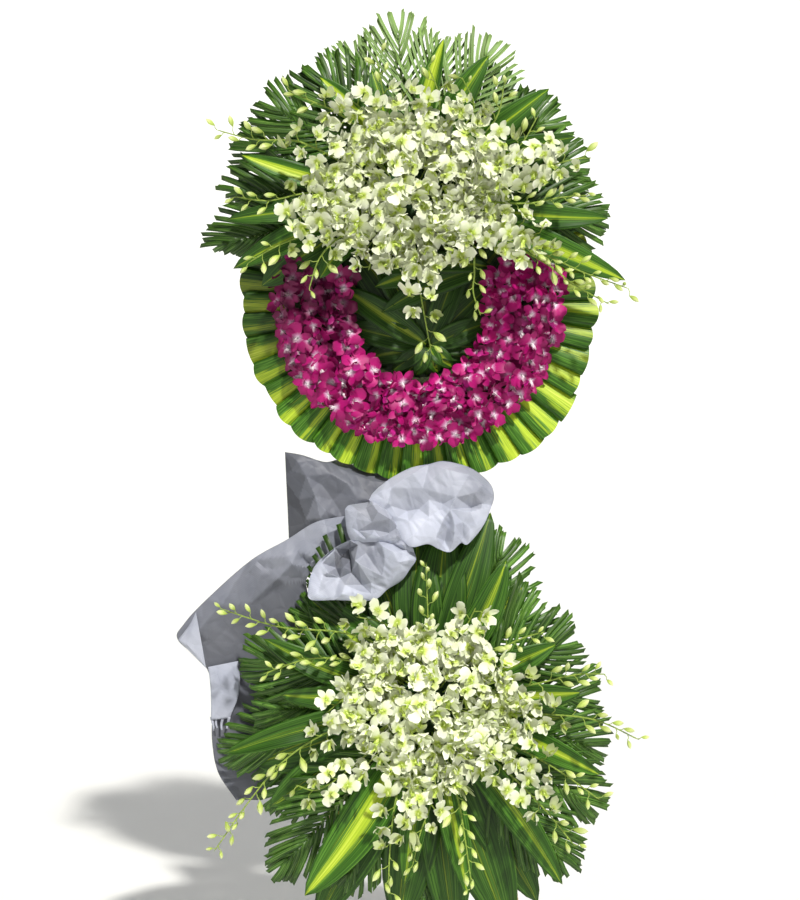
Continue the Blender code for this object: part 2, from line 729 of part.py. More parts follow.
def make_head(bunch):
    """The middle of a bunch: orchids that stand out all over a low dome."""
    seat = bunch.w + FOAM_T + GAP
    bm = bmesh.new()
    bmesh.ops.create_uvsphere(bm, u_segments=12, v_segments=6, radius=1.0)
    bmesh.ops.rotate(bm, verts=bm.verts[:], matrix=Matrix.Rotation(math.radians(90), 3, "X"))
    for vert in bm.verts:
        height = max(0.0, -vert.co.y) * HEAD_H
        vert.co = place(
            bunch.u + HEAD_R * vert.co.x, bunch.v + HEAD_R * vert.co.z, seat + height
        )
    bmesh.ops.remove_doubles(bm, verts=bm.verts[:], dist=0.0001)
    core = mesh_from(bm, "head core")
    flowers = []
    turn = math.pi * (3 - math.sqrt(5))
    for k in range(HEAD_BLOSSOMS):
        rise = 1.0 - HEAD_SPREAD * (k + 0.5) / HEAD_BLOSSOMS
        out = math.sqrt(1.0 - rise * rise)
        angle = k * turn
        ahead = Vector((math.cos(angle), math.sin(angle)))
        skin_r, skin_w = HEAD_R * out, HEAD_H * rise
        facing = place(ahead.x * out, ahead.y * out, rise * HEAD_R / HEAD_H).normalized()
        skin = place(bunch.u + skin_r * ahead.x, bunch.v + skin_r * ahead.y, seat + skin_w)
        centre = skin + (BLOSSOM_STAND + BLOSSOM_STEP * (k % 3)) * facing
        roll = random.uniform(0, 2 * math.pi)
        flowers.append(blossom(centre, facing, roll, skin - 2 * ROOT_DEPTH * facing))
    fuse("head_" + bunch.name, core, flowers, WHITE)


def stem_tube(points):
    """A thin stem through the points: a bevelled curve made a closed mesh."""
    curve = bpy.data.curves.new("stem", "CURVE")
    curve.dimensions = "3D"
    curve.bevel_depth = STEM_R
    curve.bevel_resolution = 0
    curve.use_fill_caps = True
    line = curve.splines.new("POLY")
    line.points.add(len(points) - 1)
    for spot, target in zip(points, line.points):
        target.co = (*spot, 1.0)
    item = bpy.data.objects.new("stem", curve)
    cutters.objects.link(item)
    bpy.context.view_layer.update()
    shape = item.evaluated_get(bpy.context.evaluated_depsgraph_get())
    mesh = bpy.data.meshes.new_from_object(shape)
    bpy.data.objects.remove(item, do_unlink=True)
    bm = bmesh.new()
    bm.from_mesh(mesh)
    bmesh.ops.remove_doubles(bm, verts=bm.verts[:], dist=0.00005)
    bmesh.ops.recalc_face_normals(bm, faces=bm.faces[:])
    bm.to_mesh(mesh)
    bm.free()
    return mesh


def make_spray(bunch, number, degrees, length, bend):
    """A spray: open orchids along the stem, then buds out to its tip."""
    count = STEM_STEPS
    steps = [length / count] * count
    spots, headings = bunch.path(degrees, FOAM_R + STEM_SEAT, steps, bend)

    def along(distance):
        k = min(count - 1, int(distance / length * count))
        share = distance / length * count - k
        flat = spots[k].lerp(spots[k + 1], share)
        heading = headings[k] + share * (headings[k + 1] - headings[k])
        ahead = Vector((math.cos(heading), 0.0, math.sin(heading)))
        height = bunch.height(SPRAY_LAYER, flat.x, flat.y)
        return place(flat.x, flat.y, height), ahead

    stem = stem_tube([along(length * k / count)[0] for k in range(count + 1)])
    repeats = []
    front = Vector((0.0, -1.0, 0.0))
    side_sign = 1 if number % 2 else -1
    blossoms = min(SPRAY_BLOSSOMS, int((length - 0.03 - FIRST_BLOSSOM) / BLOSSOM_SPACING) + 1)
    for k in range(blossoms):
        root, ahead = along(FIRST_BLOSSOM + k * BLOSSOM_SPACING)
        side = ahead.cross(front) * side_sign
        side_sign = -side_sign
        centre = root + SPRAY_ASIDE * side + SPRAY_OUT * front + SPRAY_AHEAD * ahead
        facing = front + 0.5 * side + 0.25 * ahead
        roll = random.uniform(0, 2 * math.pi)
        repeats.append(blossom(centre, facing, roll, root, SPRAY_BLOSSOM_R))
    first_bud = FIRST_BLOSSOM + (blossoms - 0.3) * BLOSSOM_SPACING
    for k in range(SPRAY_BUDS):
        share = k / SPRAY_BUDS
        root, ahead = along(first_bud + (length - first_bud) * share)
        side = ahead.cross(front) * side_sign
        side_sign = -side_sign
        direction = ahead + 0.9 * side + 0.25 * front
        repeats.append(bud(root, direction, BUD_L * (1.25 - 0.5 * share)))
    fuse(f"spray_{bunch.name}_{number}", stem, repeats, WHITE)


# The bow


def puff(name, centre, radii, degrees, lobes=7, depth=0.07):
    """A crumpled pillow of cloth: a ball scaled to its radii, with soft lobes."""
    bm = bmesh.new()
    bmesh.ops.create_uvsphere(bm, u_segments=14, v_segments=7, radius=1.0)
    turn = math.radians(degrees)
    for vert in bm.verts:
        x, y, z = vert.co
        swell = 1.0 - depth * (0.5 + 0.5 * math.cos(lobes * math.atan2(y, x)))
        x, y = radii[0] * x * swell, radii[1] * y * swell
        u = centre[0] + x * math.cos(turn) - y * math.sin(turn)
        v = centre[1] + x * math.sin(turn) + y * math.cos(turn)
        vert.co = place(u, v, centre[2] + radii[2] * z)
    bmesh.ops.triangulate(bm, faces=bm.faces[:])
    bmesh.ops.recalc_face_normals(bm, faces=bm.faces[:])
    return mesh_from(bm, name)


def tail(name, sides, heights):
    """A tail of cloth between two edges, waved a little across its width."""
    points = []
    columns = 4
    for k, (a, b) in enumerate(zip(*sides)):
        for c in range(columns):
            share = c / (columns - 1)
            wave = CLOTH_WAVE * math.sin(2.1 * k + 3.0 * math.pi * share) * min(1, k)
            u = a[0] + share * (b[0] - a[0])
            v = a[1] + share * (b[1] - a[1])
            points.append((u, v, heights[k] + wave))
    faces = grid_faces(len(heights), columns)
    return solid_blade(name, points, faces, CLOTH, CLOTH_T)


def make_bow():
    knot_mesh = puff("bow_knot", *KNOT, lobes=5)
    back = POLE_R * 2 + 2 * GAP
    for vert in knot_mesh.vertices:
        vert.co.y = min(vert.co.y, -back)
    add_object("bow_knot", knot_mesh, CLOTH, smooth=True)
    room = knot_mesh.copy()
    middle = place(*KNOT[0])
    grow = 1.0 + GAP / min(KNOT[1]) * 1.5
    for vert in room.vertices:
        vert.co = middle + (vert.co - middle) * grow
    cutter = bpy.data.objects.new("knot_room", room)
    cutters.objects.link(cutter)
    cutter.parent = plane
    cutter.hide_render = True
    cutter.display_type = "WIRE"
    pieces = [
        add_object("bow_loop_right", puff("bow_loop_right", *LOOP_RIGHT), CLOTH, smooth=True),
        add_object("bow_loop_left", puff("bow_loop_left", *LOOP_LEFT), CLOTH, smooth=True),
        tail("bow_tail_up", TAIL_UP_SIDES, TAIL_UP_W),
        tail("bow_tail_long", TAIL_LONG_SIDES, TAIL_LONG_W),
    ]
    for piece in pieces:
        cut(piece, cutter)


def make_boards():
    bm = bmesh.new()
    bmesh.ops.create_cone(
        bm,
        cap_ends=True,
        segments=48,
        radius1=BOARD_R,
        radius2=BOARD_R,
        depth=BOARD_T,
        matrix=Matrix.Rotation(math.radians(90), 4, "X"),
    )
    disc = add_object("board_round", mesh_from(bm, "board_round"), BOARD, smooth=True)
    disc.location = place(DISC_U, DISC_V, BOARD_T / 2)
    bm = bmesh.new()
    bmesh.ops.create_cube(bm, size=1.0)
    bmesh.ops.scale(bm, verts=bm.verts[:], vec=LOW_BOARD)
    low = add_object("board_low", mesh_from(bm, "board_low"), BOARD)
    low.location = place(0.0, LOW_V, LOW_W - GAP - LOW_BOARD[1] / 2)


def centre_on_floor():
    """Moves the root so that the wreath's box stands centred on the origin."""
    bpy.context.view_layer.update()
    graph = bpy.context.evaluated_depsgraph_get()
    corners = []
    for item in wreath.objects:
        if item.type == "MESH":
            shape = item.evaluated_get(graph)
            corners += [shape.matrix_world @ v.co for v in shape.data.vertices]
    for axis in (0, 1):
        values = [c[axis] for c in corners]
        root.location[axis] -= (min(values) + max(values)) / 2


make_stand()
make_boards()
make_rim()
make_centre_fan()
make_centre_leaves()
make_ring()
for bunch, fronds, leaves, sprays in (
    (TOP, FRONDS_TOP, LEAVES_TOP, SPRAYS_TOP),
    (LOW, FRONDS_LOW, LEAVES_LOW, SPRAYS_LOW),
):
    make_foam(bunch)
    for number, (degrees, length, layer) in enumerate(fronds, 1):
        make_frond(bunch, number, degrees, length, layer)
    for name, group in leaves.items():
        make_leaves(bunch, name, group)
    for number, (degrees, length, bend) in enumerate(sprays, 1):
        make_spray(bunch, number, degrees, length, bend)
    make_head(bunch)
make_bow()
centre_on_floor()
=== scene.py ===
# %% [markdown]
# # A standing funeral wreath
#
# This notebook dresses the plain solid model of a funeral wreath: a leaning tripod,
# a round board rimmed with pleated leaves, a horseshoe of magenta orchids, two
# bunches of white orchids, palm and striped leaves, and a bow of sheer cloth. The
# solid model says where everything is. Each step works out one kind of part as a
# surface in numpy and gives it a material made of nodes.

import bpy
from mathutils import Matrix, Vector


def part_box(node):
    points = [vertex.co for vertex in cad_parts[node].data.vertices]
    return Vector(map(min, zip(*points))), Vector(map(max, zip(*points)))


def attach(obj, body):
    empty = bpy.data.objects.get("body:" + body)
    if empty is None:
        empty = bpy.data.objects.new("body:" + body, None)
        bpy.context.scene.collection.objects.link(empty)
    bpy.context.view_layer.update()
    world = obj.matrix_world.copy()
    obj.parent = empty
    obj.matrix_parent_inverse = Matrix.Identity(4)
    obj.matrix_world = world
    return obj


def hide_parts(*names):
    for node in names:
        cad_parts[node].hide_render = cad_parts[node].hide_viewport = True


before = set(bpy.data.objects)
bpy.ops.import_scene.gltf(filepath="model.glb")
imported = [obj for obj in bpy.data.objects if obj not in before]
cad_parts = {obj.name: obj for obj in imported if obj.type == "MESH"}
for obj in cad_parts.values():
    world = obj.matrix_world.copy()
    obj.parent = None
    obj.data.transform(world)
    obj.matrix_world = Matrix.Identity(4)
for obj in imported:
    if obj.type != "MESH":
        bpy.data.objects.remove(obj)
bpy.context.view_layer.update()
print("solid model:", len(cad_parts), "nodes")

# %% Bring in the libraries
import math

import bmesh
import bpy
import numpy as np
from mathutils import Vector
from mathutils.geometry import delaunay_2d_cdt

# %% [markdown]
# ## The leaning plane
#
# A florist builds this wreath lying flat and then leans it back on its rear leg.
# The same trick helps here: every point is laid out flat first, with u to the right,
# v up the board and w out towards the viewer, and one small matrix then leans it all
# back by 9 degrees. The round board's box says how far to shift the result.

# %% From the flat layout to the standing wreath
LEAN = math.radians(9.0)
BOARD_AT = np.array([-0.0035, 1.2495, 0.010])  # centre of the round board, flat
AXES = np.array(
    [
        [1.0, 0.0, 0.0],
        [0.0, math.sin(LEAN), math.cos(LEAN)],
        [0.0, -math.cos(LEAN), math.sin(LEAN)],
    ]
)
SHIFT = np.mean([np.array(corner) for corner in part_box("board_round")], axis=0) - BOARD_AT @ AXES


def stand_up(points):
    """Leans flat points back: u, v and w times the world directions they point in."""
    return np.asarray(points) @ AXES + SHIFT


print("the plane starts at", SHIFT.round(4))

# %% [markdown]
# ## The camera
#
# The photograph is taken square on to the board, so the camera stands 4 m out along
# the board's own normal and looks straight down it. That keeps the round board round.
# A long lens keeps flowers near the camera from looking larger than those behind.

# %% Place the camera
PIXEL = 0.00175  # metres across one pixel of the photograph, 50 mm above the board
NEAR_W, CAMERA_W = 0.05, 4.0
MIDDLE_U, MIDDLE_V = -0.035, 0.98875  # what the middle of the picture shows

lens = bpy.data.cameras.new("camera")
lens.sensor_fit = "VERTICAL"
lens.sensor_height = 36.0
lens.lens = 36.0 * (CAMERA_W - NEAR_W) / (900 * PIXEL)
camera = bpy.data.objects.new("camera", lens)
camera.location = stand_up([MIDDLE_U, MIDDLE_V, CAMERA_W])
camera.rotation_euler = (math.radians(90) - LEAN, 0.0, 0.0)
bpy.context.scene.collection.objects.link(camera)
bpy.context.scene.camera = camera
print("camera at", [round(x, 3) for x in camera.location], "lens", round(lens.lens, 1), "mm")


def seen_at(x, y, w):
    """The flat point at height w that shows at pixel (x, y) of the 800 by 900 picture:
    its distance from the picture's middle shrinks as it comes nearer the camera."""
    x, y, w = np.broadcast_arrays(*(np.asarray(a, float) for a in (x, y, w)))
    size = PIXEL * (CAMERA_W - w) / (CAMERA_W - NEAR_W)
    return np.stack([MIDDLE_U + (x - 400) * size, MIDDLE_V + (450 - y) * size, w], -1)


# %% [markdown]
# ## Light
#
# The flowers are lit from high on the right, with soft-edged shadows: the top bunch
# throws one down over the middle of the board. A sun lamp a few degrees wide does
# that, and it also lights the pale floor evenly. A wide lamp on the left fills the
# shade a little. The sky is dim, to keep the shade between the leaves deep.

# %% Sun, fill and sky
sun = bpy.data.lights.new("sun", "SUN")
sun.energy, sun.angle, sun.color = 3.9, math.radians(3), (1.0, 0.98, 0.94)
fill = bpy.data.lights.new("fill", "AREA")
fill.energy, fill.size, fill.color = 3.5, 2.5, (0.93, 0.97, 1.0)
for lamp, place, turn in (
    (sun, (2.0, -3.0, 5.0), (math.radians(36), 0.0, math.radians(24))),
    (fill, (-2.6, -3.2, 1.6), (math.radians(80), 0.0, math.radians(-39))),
):
    light = bpy.data.objects.new(lamp.name, lamp)
    light.location, light.rotation_euler = place, turn
    bpy.context.scene.collection.objects.link(light)
bpy.context.scene.view_settings.view_transform = "Standard"

# %% [markdown]
# ## Helpers for materials
#
# Every material below is a small tree of nodes round one Principled shader. Colours
# are written as the sRGB hex values that a paint program shows, and one function turns
# them linear. One more function adds a node, sets it up and links it.


# %% Colours and nodes
def colour(code):
    """sRGB hex to linear red, green, blue and alpha: ((c + 0.055) / 1.055) to the power 2.4."""
    shades = [int(code[i : i + 2], 16) / 255 for i in (0, 2, 4)]
    return tuple(((c + 0.055) / 1.055) ** 2.4 if c > 0.04 else c / 12.92 for c in shades) + (1.0,)


def add(tree, kind, inputs=None, stops=None, **settings):
    """Adds a node. Inputs are values or sockets to link; stops are a ramp's colours."""
    made = tree.nodes.new("ShaderNode" + kind)
    for name, value in settings.items():
        setattr(made, name, value)
    for name, value in (inputs or {}).items():
        if isinstance(value, bpy.types.NodeSocket):
            tree.links.new(value, made.inputs[name])
        else:
            made.inputs[name].default_value = value
    if stops:
        marks = made.color_ramp.elements
        while len(marks) < len(stops):
            marks.new(0.5)
        for mark, (where, shade) in zip(marks, stops):
            mark.position, mark.color = where, shade
    return made


def new_finish(name, **values):
    """A material with its Principled shader's constant sockets set."""
    made = bpy.data.materials.new(name)
    made.use_nodes = True
    shader = made.node_tree.nodes["Principled BSDF"]
    for socket, value in values.items():
        shader.inputs[socket.replace("_", " ")].default_value = value
    return made, made.node_tree, shader


MIX_A, MIX_B, MIX_OUT = 6, 7, 2  # the colour sockets of a Mix node
COLOURS = {"data_type": "RGBA"}  # a Mix node that mixes colours
MULTIPLIED = {"data_type": "RGBA", "blend_type": "MULTIPLY"}  # and one that multiplies them
LIGHT, DARK = (1, 1, 1, 1), (0, 0, 0, 1)

# %% The sky's nodes
world = bpy.data.worlds.new("studio")
world.use_nodes = True
bpy.context.scene.world = world
sky = world.node_tree
height = add(sky, "SeparateXYZ", {0: add(sky, "TexCoord").outputs["Generated"]})
shade = add(
    sky,
    "ValToRGB",
    {0: height.outputs["Z"]},
    [(0.0, (0.09, 0.09, 0.085, 1)), (0.5, (0.075, 0.082, 0.095, 1))],
)
sky.links.new(shade.outputs[0], sky.nodes["Background"].inputs["Color"])

# %% [markdown]
# ## Helpers for shapes
#
# Every leaf, petal, stem and fold of cloth is a grid of points: rows along it and
# columns across it. A piece is many such grids put into one mesh. Each point also
# carries its place across and along its own grid as a UV map, a tone, and a number
# for the kind of part it is, so that a material can tell a lip from a petal. The tone
# differs at random, and in some pieces it is set lower or higher to paint shade and light.
# Points that meet at a tip or a seam are merged, which closes tubes and buds.


# %% Grids of points into one mesh
def grid(points, tone=0.5, kind=0.0, finish=0, uv=None):
    """Grids of points (copies, rows, columns, 3) with what each point carries."""
    points = np.asarray(points, float)
    points = points.reshape((-1,) + points.shape[-3:])
    copies, rows, columns = points.shape[:3]
    if uv is None:
        uv = (np.linspace(0, 1, columns)[None, :], np.linspace(0, 1, rows)[:, None])
    carried = [*uv]
    for value in (tone, kind):
        value = np.asarray(value, float)
        carried.append(value.reshape(-1, 1, 1) if value.ndim == 1 else value)
    carried = [np.broadcast_to(value, (copies, rows, columns)).ravel() for value in carried]
    return {"points": points, "carried": carried, "finish": finish}


def quads(copies, rows, columns):
    """Corner numbers of the quads of each grid, counted anticlockwise."""
    r, c = np.mgrid[0 : rows - 1, 0 : columns - 1]
    first = (r * columns + c).reshape(-1, 1)
    one = first + np.array([0, 1, columns + 1, columns])
    return (one + rows * columns * np.arange(copies)[:, None, None]).reshape(-1, 4)


def make_piece(name, grids, finishes, nodes=(), thickness=0.0, sharp=50):
    """One mesh from many grids, merged where points meet, that stands for its nodes."""
    corners, finish, start = [], [], 0
    for one in grids:
        part = quads(*one["points"].shape[:3])
        corners.append(part + start)
        finish.append(np.full(len(part), one["finish"]))
        start += one["points"][..., 0].size
    corners = np.concatenate(corners)
    points = np.concatenate([one["points"].reshape(-1, 3) for one in grids])
    across, along, tone, kind = (
        np.concatenate([one["carried"][i] for one in grids]) for i in range(4)
    )
    mesh = bpy.data.meshes.new(name)
    mesh.from_pydata(stand_up(points).tolist(), [], corners.tolist())
    uv = np.stack([across, along], -1)[corners.ravel()]
    mesh.uv_layers.new(name="surface").data.foreach_set("uv", uv.ravel())
    for label, values in (("tone", tone), ("kind", kind)):
        mesh.attributes.new(label, "FLOAT", "POINT").data.foreach_set("value", values)
    mesh.polygons.foreach_set("material_index", np.concatenate(finish))
    for made in finishes:
        mesh.materials.append(made)
    bm = bmesh.new()
    bm.from_mesh(mesh)
    bmesh.ops.remove_doubles(bm, verts=bm.verts[:], dist=0.00001)
    bm.to_mesh(mesh)
    bm.free()
    mesh.shade_smooth()
    mesh.set_sharp_from_angle(angle=math.radians(sharp))
    piece = bpy.data.objects.new(name, mesh)
    bpy.context.scene.collection.objects.link(piece)
    if thickness:
        shell = piece.modifiers.new("thickness", "SOLIDIFY")
        shell.thickness, shell.offset = thickness, 0.0
    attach(piece, "root")
    if nodes:
        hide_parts(*nodes)
    print(f"{name}: {len(mesh.polygons)} faces")
    return piece


# %% Lines, tubes and random hills
def unit(vectors):
    """Each vector divided by its own length."""
    return vectors / np.maximum(np.linalg.norm(vectors, axis=-1, keepdims=True), 1e-9)


def through(points, count):
    """A smooth line through the points: each stretch is the cubic whose slope at a
    point is half the step from the point before it to the point after it."""
    p = np.asarray(points, float)
    t = np.linspace(0, len(p) - 1, count)
    i = np.minimum(t.astype(int), len(p) - 2)
    f = (t - i)[:, None]
    p = np.vstack([2 * p[0] - p[1], p, 2 * p[-1] - p[-2]])
    a, b, c, d = p[i], p[i + 1], p[i + 2], p[i + 3]
    return b + 0.5 * f * (c - a + f * (2 * a - 5 * b + 4 * c - d + f * (3 * b - 3 * c + d - a)))


def tubes(paths, radii, sides):
    """Rings round paths (copies, rows, 3): path + radius (cos, sin) of the angle in the
    two directions square to the path. The last column repeats the first."""
    ahead = unit(np.gradient(paths, axis=1))
    away = np.where(np.abs(ahead[..., 2:]) > 0.9, [1.0, 0, 0], [0, 0, 1.0])
    one = unit(np.cross(away, ahead))
    two = np.cross(ahead, one)
    turn = np.linspace(0, 2 * np.pi, sides + 1)[:, None]
    ring = np.cos(turn) * one[:, :, None] + np.sin(turn) * two[:, :, None]
    radii = np.broadcast_to(radii, paths.shape[:2])
    return paths[:, :, None] + radii[:, :, None, None] * ring


def hills(x, y, seed):
    """Smooth random heights from 0 to 1: random values at whole numbers, eased between."""
    table = np.random.default_rng(seed).random((64, 64))
    i, j = np.floor(x).astype(int), np.floor(y).astype(int)
    f, g = x - i, y - j
    f, g = f * f * (3 - 2 * f), g * g * (3 - 2 * g)
    i0, i1, j0, j1 = i % 64, (i + 1) % 64, j % 64, (j + 1) % 64
    low = table[i0, j0] * (1 - f) + table[i1, j0] * f
    high = table[i0, j1] * (1 - f) + table[i1, j1] * f
    return low * (1 - g) + high * g


# %% [markdown]
# ## The floor
#
# The floor is a plain pale bowl, painted matt so that it shows the wreath's shadow and
# nothing else. It is flat for 7 m round the wreath and then sweeps up like a studio's
# curved backdrop, so that no horizon shows from any side. It is a profile turned about
# the vertical: past 7 m its height is a quarter of an ellipse.

# %% Lay the floor
turn = np.linspace(0, 2 * np.pi, 97)[None, ::-1]
sweep = np.linspace(0, np.pi / 2, 14)
radius = np.concatenate([[0.0, 2.0, 5.0], 7.0 + 4.0 * np.sin(sweep)])[:, None]
rise = np.concatenate([[0.0, 0.0, 0.0], 5.0 * (1 - np.cos(sweep))])[:, None]
ring = np.stack([radius * np.cos(turn), radius * np.sin(turn), rise + 0 * turn], -1)
floor_mesh = bpy.data.meshes.new("floor")
floor_mesh.from_pydata(ring.reshape(-1, 3).tolist(), [], quads(1, len(radius), 97).tolist())
floor_mesh.shade_smooth()
floor = bpy.data.objects.new("floor", floor_mesh)
bpy.context.scene.collection.objects.link(floor)
# Matt white paint. It glows a little, which is painted light: it glows more on the
# side that turns away from the sun, so that no side looks dark, and so it lightens
# the wreath's shadow on it.
painted, tree, shader = new_finish(
    "matt white studio paint", Roughness=0.9, Emission_Color=(1.0, 1.0, 0.99, 1.0)
)
sunward = add(
    tree, "VectorMath", {0: add(tree, "NewGeometry").outputs["Normal"], 1: (0.239, -0.537, 0.809)},
    operation="DOT_PRODUCT",
)
painted_glow = add(
    tree, "ValToRGB", {0: sunward.outputs["Value"]},
    [(0.0, (0.42, 0.42, 0.42, 1)), (0.75, (0.24, 0.24, 0.24, 1))],
)
tree.links.new(painted_glow.outputs[0], shader.inputs["Emission Strength"])
dust = add(
    tree, "TexNoise", {"Scale": 3.0, "Detail": 4.0, "Vector": add(tree, "TexCoord").outputs["Object"]}
)
shade = add(tree, "ValToRGB", {0: dust.outputs[0]}, [(0.3, colour("D6D6D2")), (0.7, colour("D8D8D5"))])
tree.links.new(shade.outputs[0], shader.inputs["Base Color"])
floor_mesh.materials.append(painted)

# %% [markdown]
# ## Bamboo poles
#
# Such stands are tied up from bamboo about 25 mm thick. A cane isn't a plain cylinder:
# every 200 to 265 mm it has a joint, a raised ring with a groove over it, and its sawn
# ends are hollow. A circle carried along a line does this when its radius depends on
# the distance along the line: it swells at the joints and turns inwards at the ends.

# %% Sizes of the stand
POLE_R, GAP = 0.0125, 0.0003
FOOT_U, APEX_U, APEX_V, REAR_FOOT_BACK, REAR_TOP = 0.18, 0.045, 1.50, 0.54, 0.05
BARS = {"bar_top": 1.44, "bar_upper": 0.862, "bar_middle": 0.55}
BAR_OVERHANG = 0.018


def cane(start, end, first_joint, spacing, on_floor):
    """The cane's rings: radius x (1 + 0.10 of a bump at each joint - 0.05 of a groove
    just past it), with each sawn end turned in to 0.62 of the radius and 15 mm down."""
    length = np.linalg.norm(end - start)
    joints = np.arange(first_joint, length - 0.03, spacing)
    near = (joints[:, None] + np.array([-9, -4, -1.5, 0, 1.5, 4, 9]) * 0.001).ravel()
    s = np.unique(np.concatenate([np.arange(0.0, length, 0.05), near, [length]]))
    off = s[:, None] - joints
    bump = 0.10 * np.exp(-((off / 0.004) ** 2)).sum(1)
    groove = 0.05 * np.exp(-(((off - 0.004) / 0.002) ** 2)).sum(1)
    taper = 1.0 - 0.04 * s / length
    radii = POLE_R * np.concatenate([[0, 0.6, 0.62], taper * (1 + (bump - groove)) * 0.985, [0.62, 0.6, 0]])
    s = np.concatenate([[0.015, 0.015, 0], s, [length, length - 0.015, length - 0.015]])
    ahead = (end - start) / length
    side = unit(np.cross(ahead, [0.3, 0.1, 1.0] if abs(ahead[0]) > 0.9 else [1.0, 0, 0]))
    turn = np.linspace(0, 2 * np.pi, 21)[:, None]
    ring = np.cos(turn) * side + np.sin(turn) * np.cross(ahead, side)
    points = start + s[:, None, None] * ahead + radii[:, None, None] * ring
    if on_floor:  # a foot is sawn level: slide its end ring along the cane to the floor
        foot = s < 0.001
        drop = points[foot, :, 2:] / ahead[2]
        points[foot] -= drop * ahead
    near_joint = np.exp(-(((s[3:-3, None] - joints) / 0.006) ** 2)).sum(1)
    near_joint = np.concatenate([[0] * 3, near_joint, [0] * 3])
    uv = (np.linspace(0, 1, 21)[None, :], s[:, None])
    return grid(points, 0.5, np.clip(near_joint, 0, 1)[None, :, None], 0, uv)


# %% The bamboo's finish
# Dry bamboo, cut and left raw: a satin straw-coloured skin with fine fibres along it,
# darker at the joints. The fibres are about 1 mm wide.
bamboo, tree, shader = new_finish("dry bamboo cane", Roughness=0.45, Coat_Weight=0.12)
where = add(tree, "UVMap", uv_map="surface").outputs[0]
joint = add(tree, "Attribute", attribute_name="kind").outputs["Fac"]
fibre = add(tree, "Mapping", {"Vector": where, "Scale": (60.0, 9.0, 1.0)}).outputs[0]
fibre = add(tree, "TexNoise", {"Vector": fibre, "Scale": 1.0, "Detail": 3.0}).outputs[0]
skin = add(tree, "ValToRGB", {0: fibre}, [(0.3, colour("A8864A")), (0.7, colour("D2B67C"))]).outputs[0]
blotch = add(tree, "TexNoise", {"Vector": add(tree, "TexCoord").outputs["Object"], "Scale": 9.0}).outputs[0]
blotch = add(tree, "ValToRGB", {0: blotch}, [(0.45, LIGHT), (0.75, colour("A99A6C"))]).outputs[0]
skin = add(tree, "Mix", {0: 0.7, MIX_A: skin, MIX_B: blotch}, **MULTIPLIED).outputs[MIX_OUT]
skin = add(tree, "Mix", {0: joint, MIX_A: skin, MIX_B: colour("6E5126")}, **COLOURS).outputs[MIX_OUT]
rough = add(tree, "Bump", {"Height": fibre, "Strength": 0.3, "Distance": 0.0006}).outputs[0]
tree.links.new(skin, shader.inputs["Base Color"])
tree.links.new(rough, shader.inputs["Normal"])

# %% Stand the poles up
leg_w = -(POLE_R + GAP)
behind_w = leg_w - 2 * POLE_R - GAP
slope = (FOOT_U - APEX_U) / APEX_V
poles = {}
for side, name in ((-1, "leg_left"), (1, "leg_right")):
    ends = stand_up([[side * FOOT_U, 0.0, leg_w], [side * APEX_U, APEX_V, leg_w]])
    ahead = unit(ends[1] - ends[0])
    poles[name] = (ends[0] - ahead * ends[0][2] / ahead[2], ends[1])
for name, v in BARS.items():
    reach = FOOT_U - slope * v + BAR_OVERHANG
    w = POLE_R + GAP if name == "bar_upper" else behind_w
    poles[name] = tuple(stand_up([[-reach, v, w], [reach, v, w]]))
bar = stand_up([0.0, BARS["bar_top"], behind_w])
rear_y = stand_up([0.0, 0.0, 0.0])[1] + REAR_FOOT_BACK
tilt = math.atan2(rear_y - bar[1], bar[2])
seat = bar + (2 * POLE_R + GAP) * np.array([0.0, math.cos(tilt), math.sin(tilt)])
down = np.array([0.0, math.sin(tilt), -math.cos(tilt)])
poles["leg_rear"] = (seat + seat[2] / math.cos(tilt) * down, seat - REAR_TOP * down)
for order, (name, (start, end)) in enumerate(poles.items()):
    rings = cane(start, end, 0.06 + 0.031 * order, 0.20 + 0.013 * order, name.startswith("leg"))
    rings["points"] = (rings["points"] - SHIFT) @ AXES.T
    make_piece("cane_" + name, [rings], [bamboo], [name])

# %% [markdown]
# ## Twine round the crossings
#
# Two canes that cross are tied with three and a half turns of jute twine each way. The
# twine passes over them diagonally, and seen along it two crossed canes are two stacked
# ellipses. The coil is the outline round both as a function of its angle, moved aside a
# little with each turn. A tube is wrapped round that line.

# %% Jute twine
# Jute is matt and hairy. Its two strands are drawn as slanting bands about 2 mm long.
twine, tree, shader = new_finish("twisted jute twine", Roughness=0.9)
lay = add(
    tree, "TexWave",
    {"Vector": add(tree, "UVMap", uv_map="surface").outputs[0], "Scale": 1.0, "Distortion": 0.5},
    bands_direction="DIAGONAL",
)
strand = add(
    tree, "ValToRGB", {0: lay.outputs["Fac"]}, [(0.2, colour("6E5430")), (0.7, colour("B59A68"))]
).outputs[0]
rough = add(tree, "Bump", {"Height": lay.outputs["Fac"], "Strength": 0.6, "Distance": 0.0004}).outputs[0]
tree.links.new(strand, shader.inputs["Base Color"])
tree.links.new(rough, shader.inputs["Normal"])

# %% Tie the crossings
TWINE_R, TURNS = 0.0012, 3.5


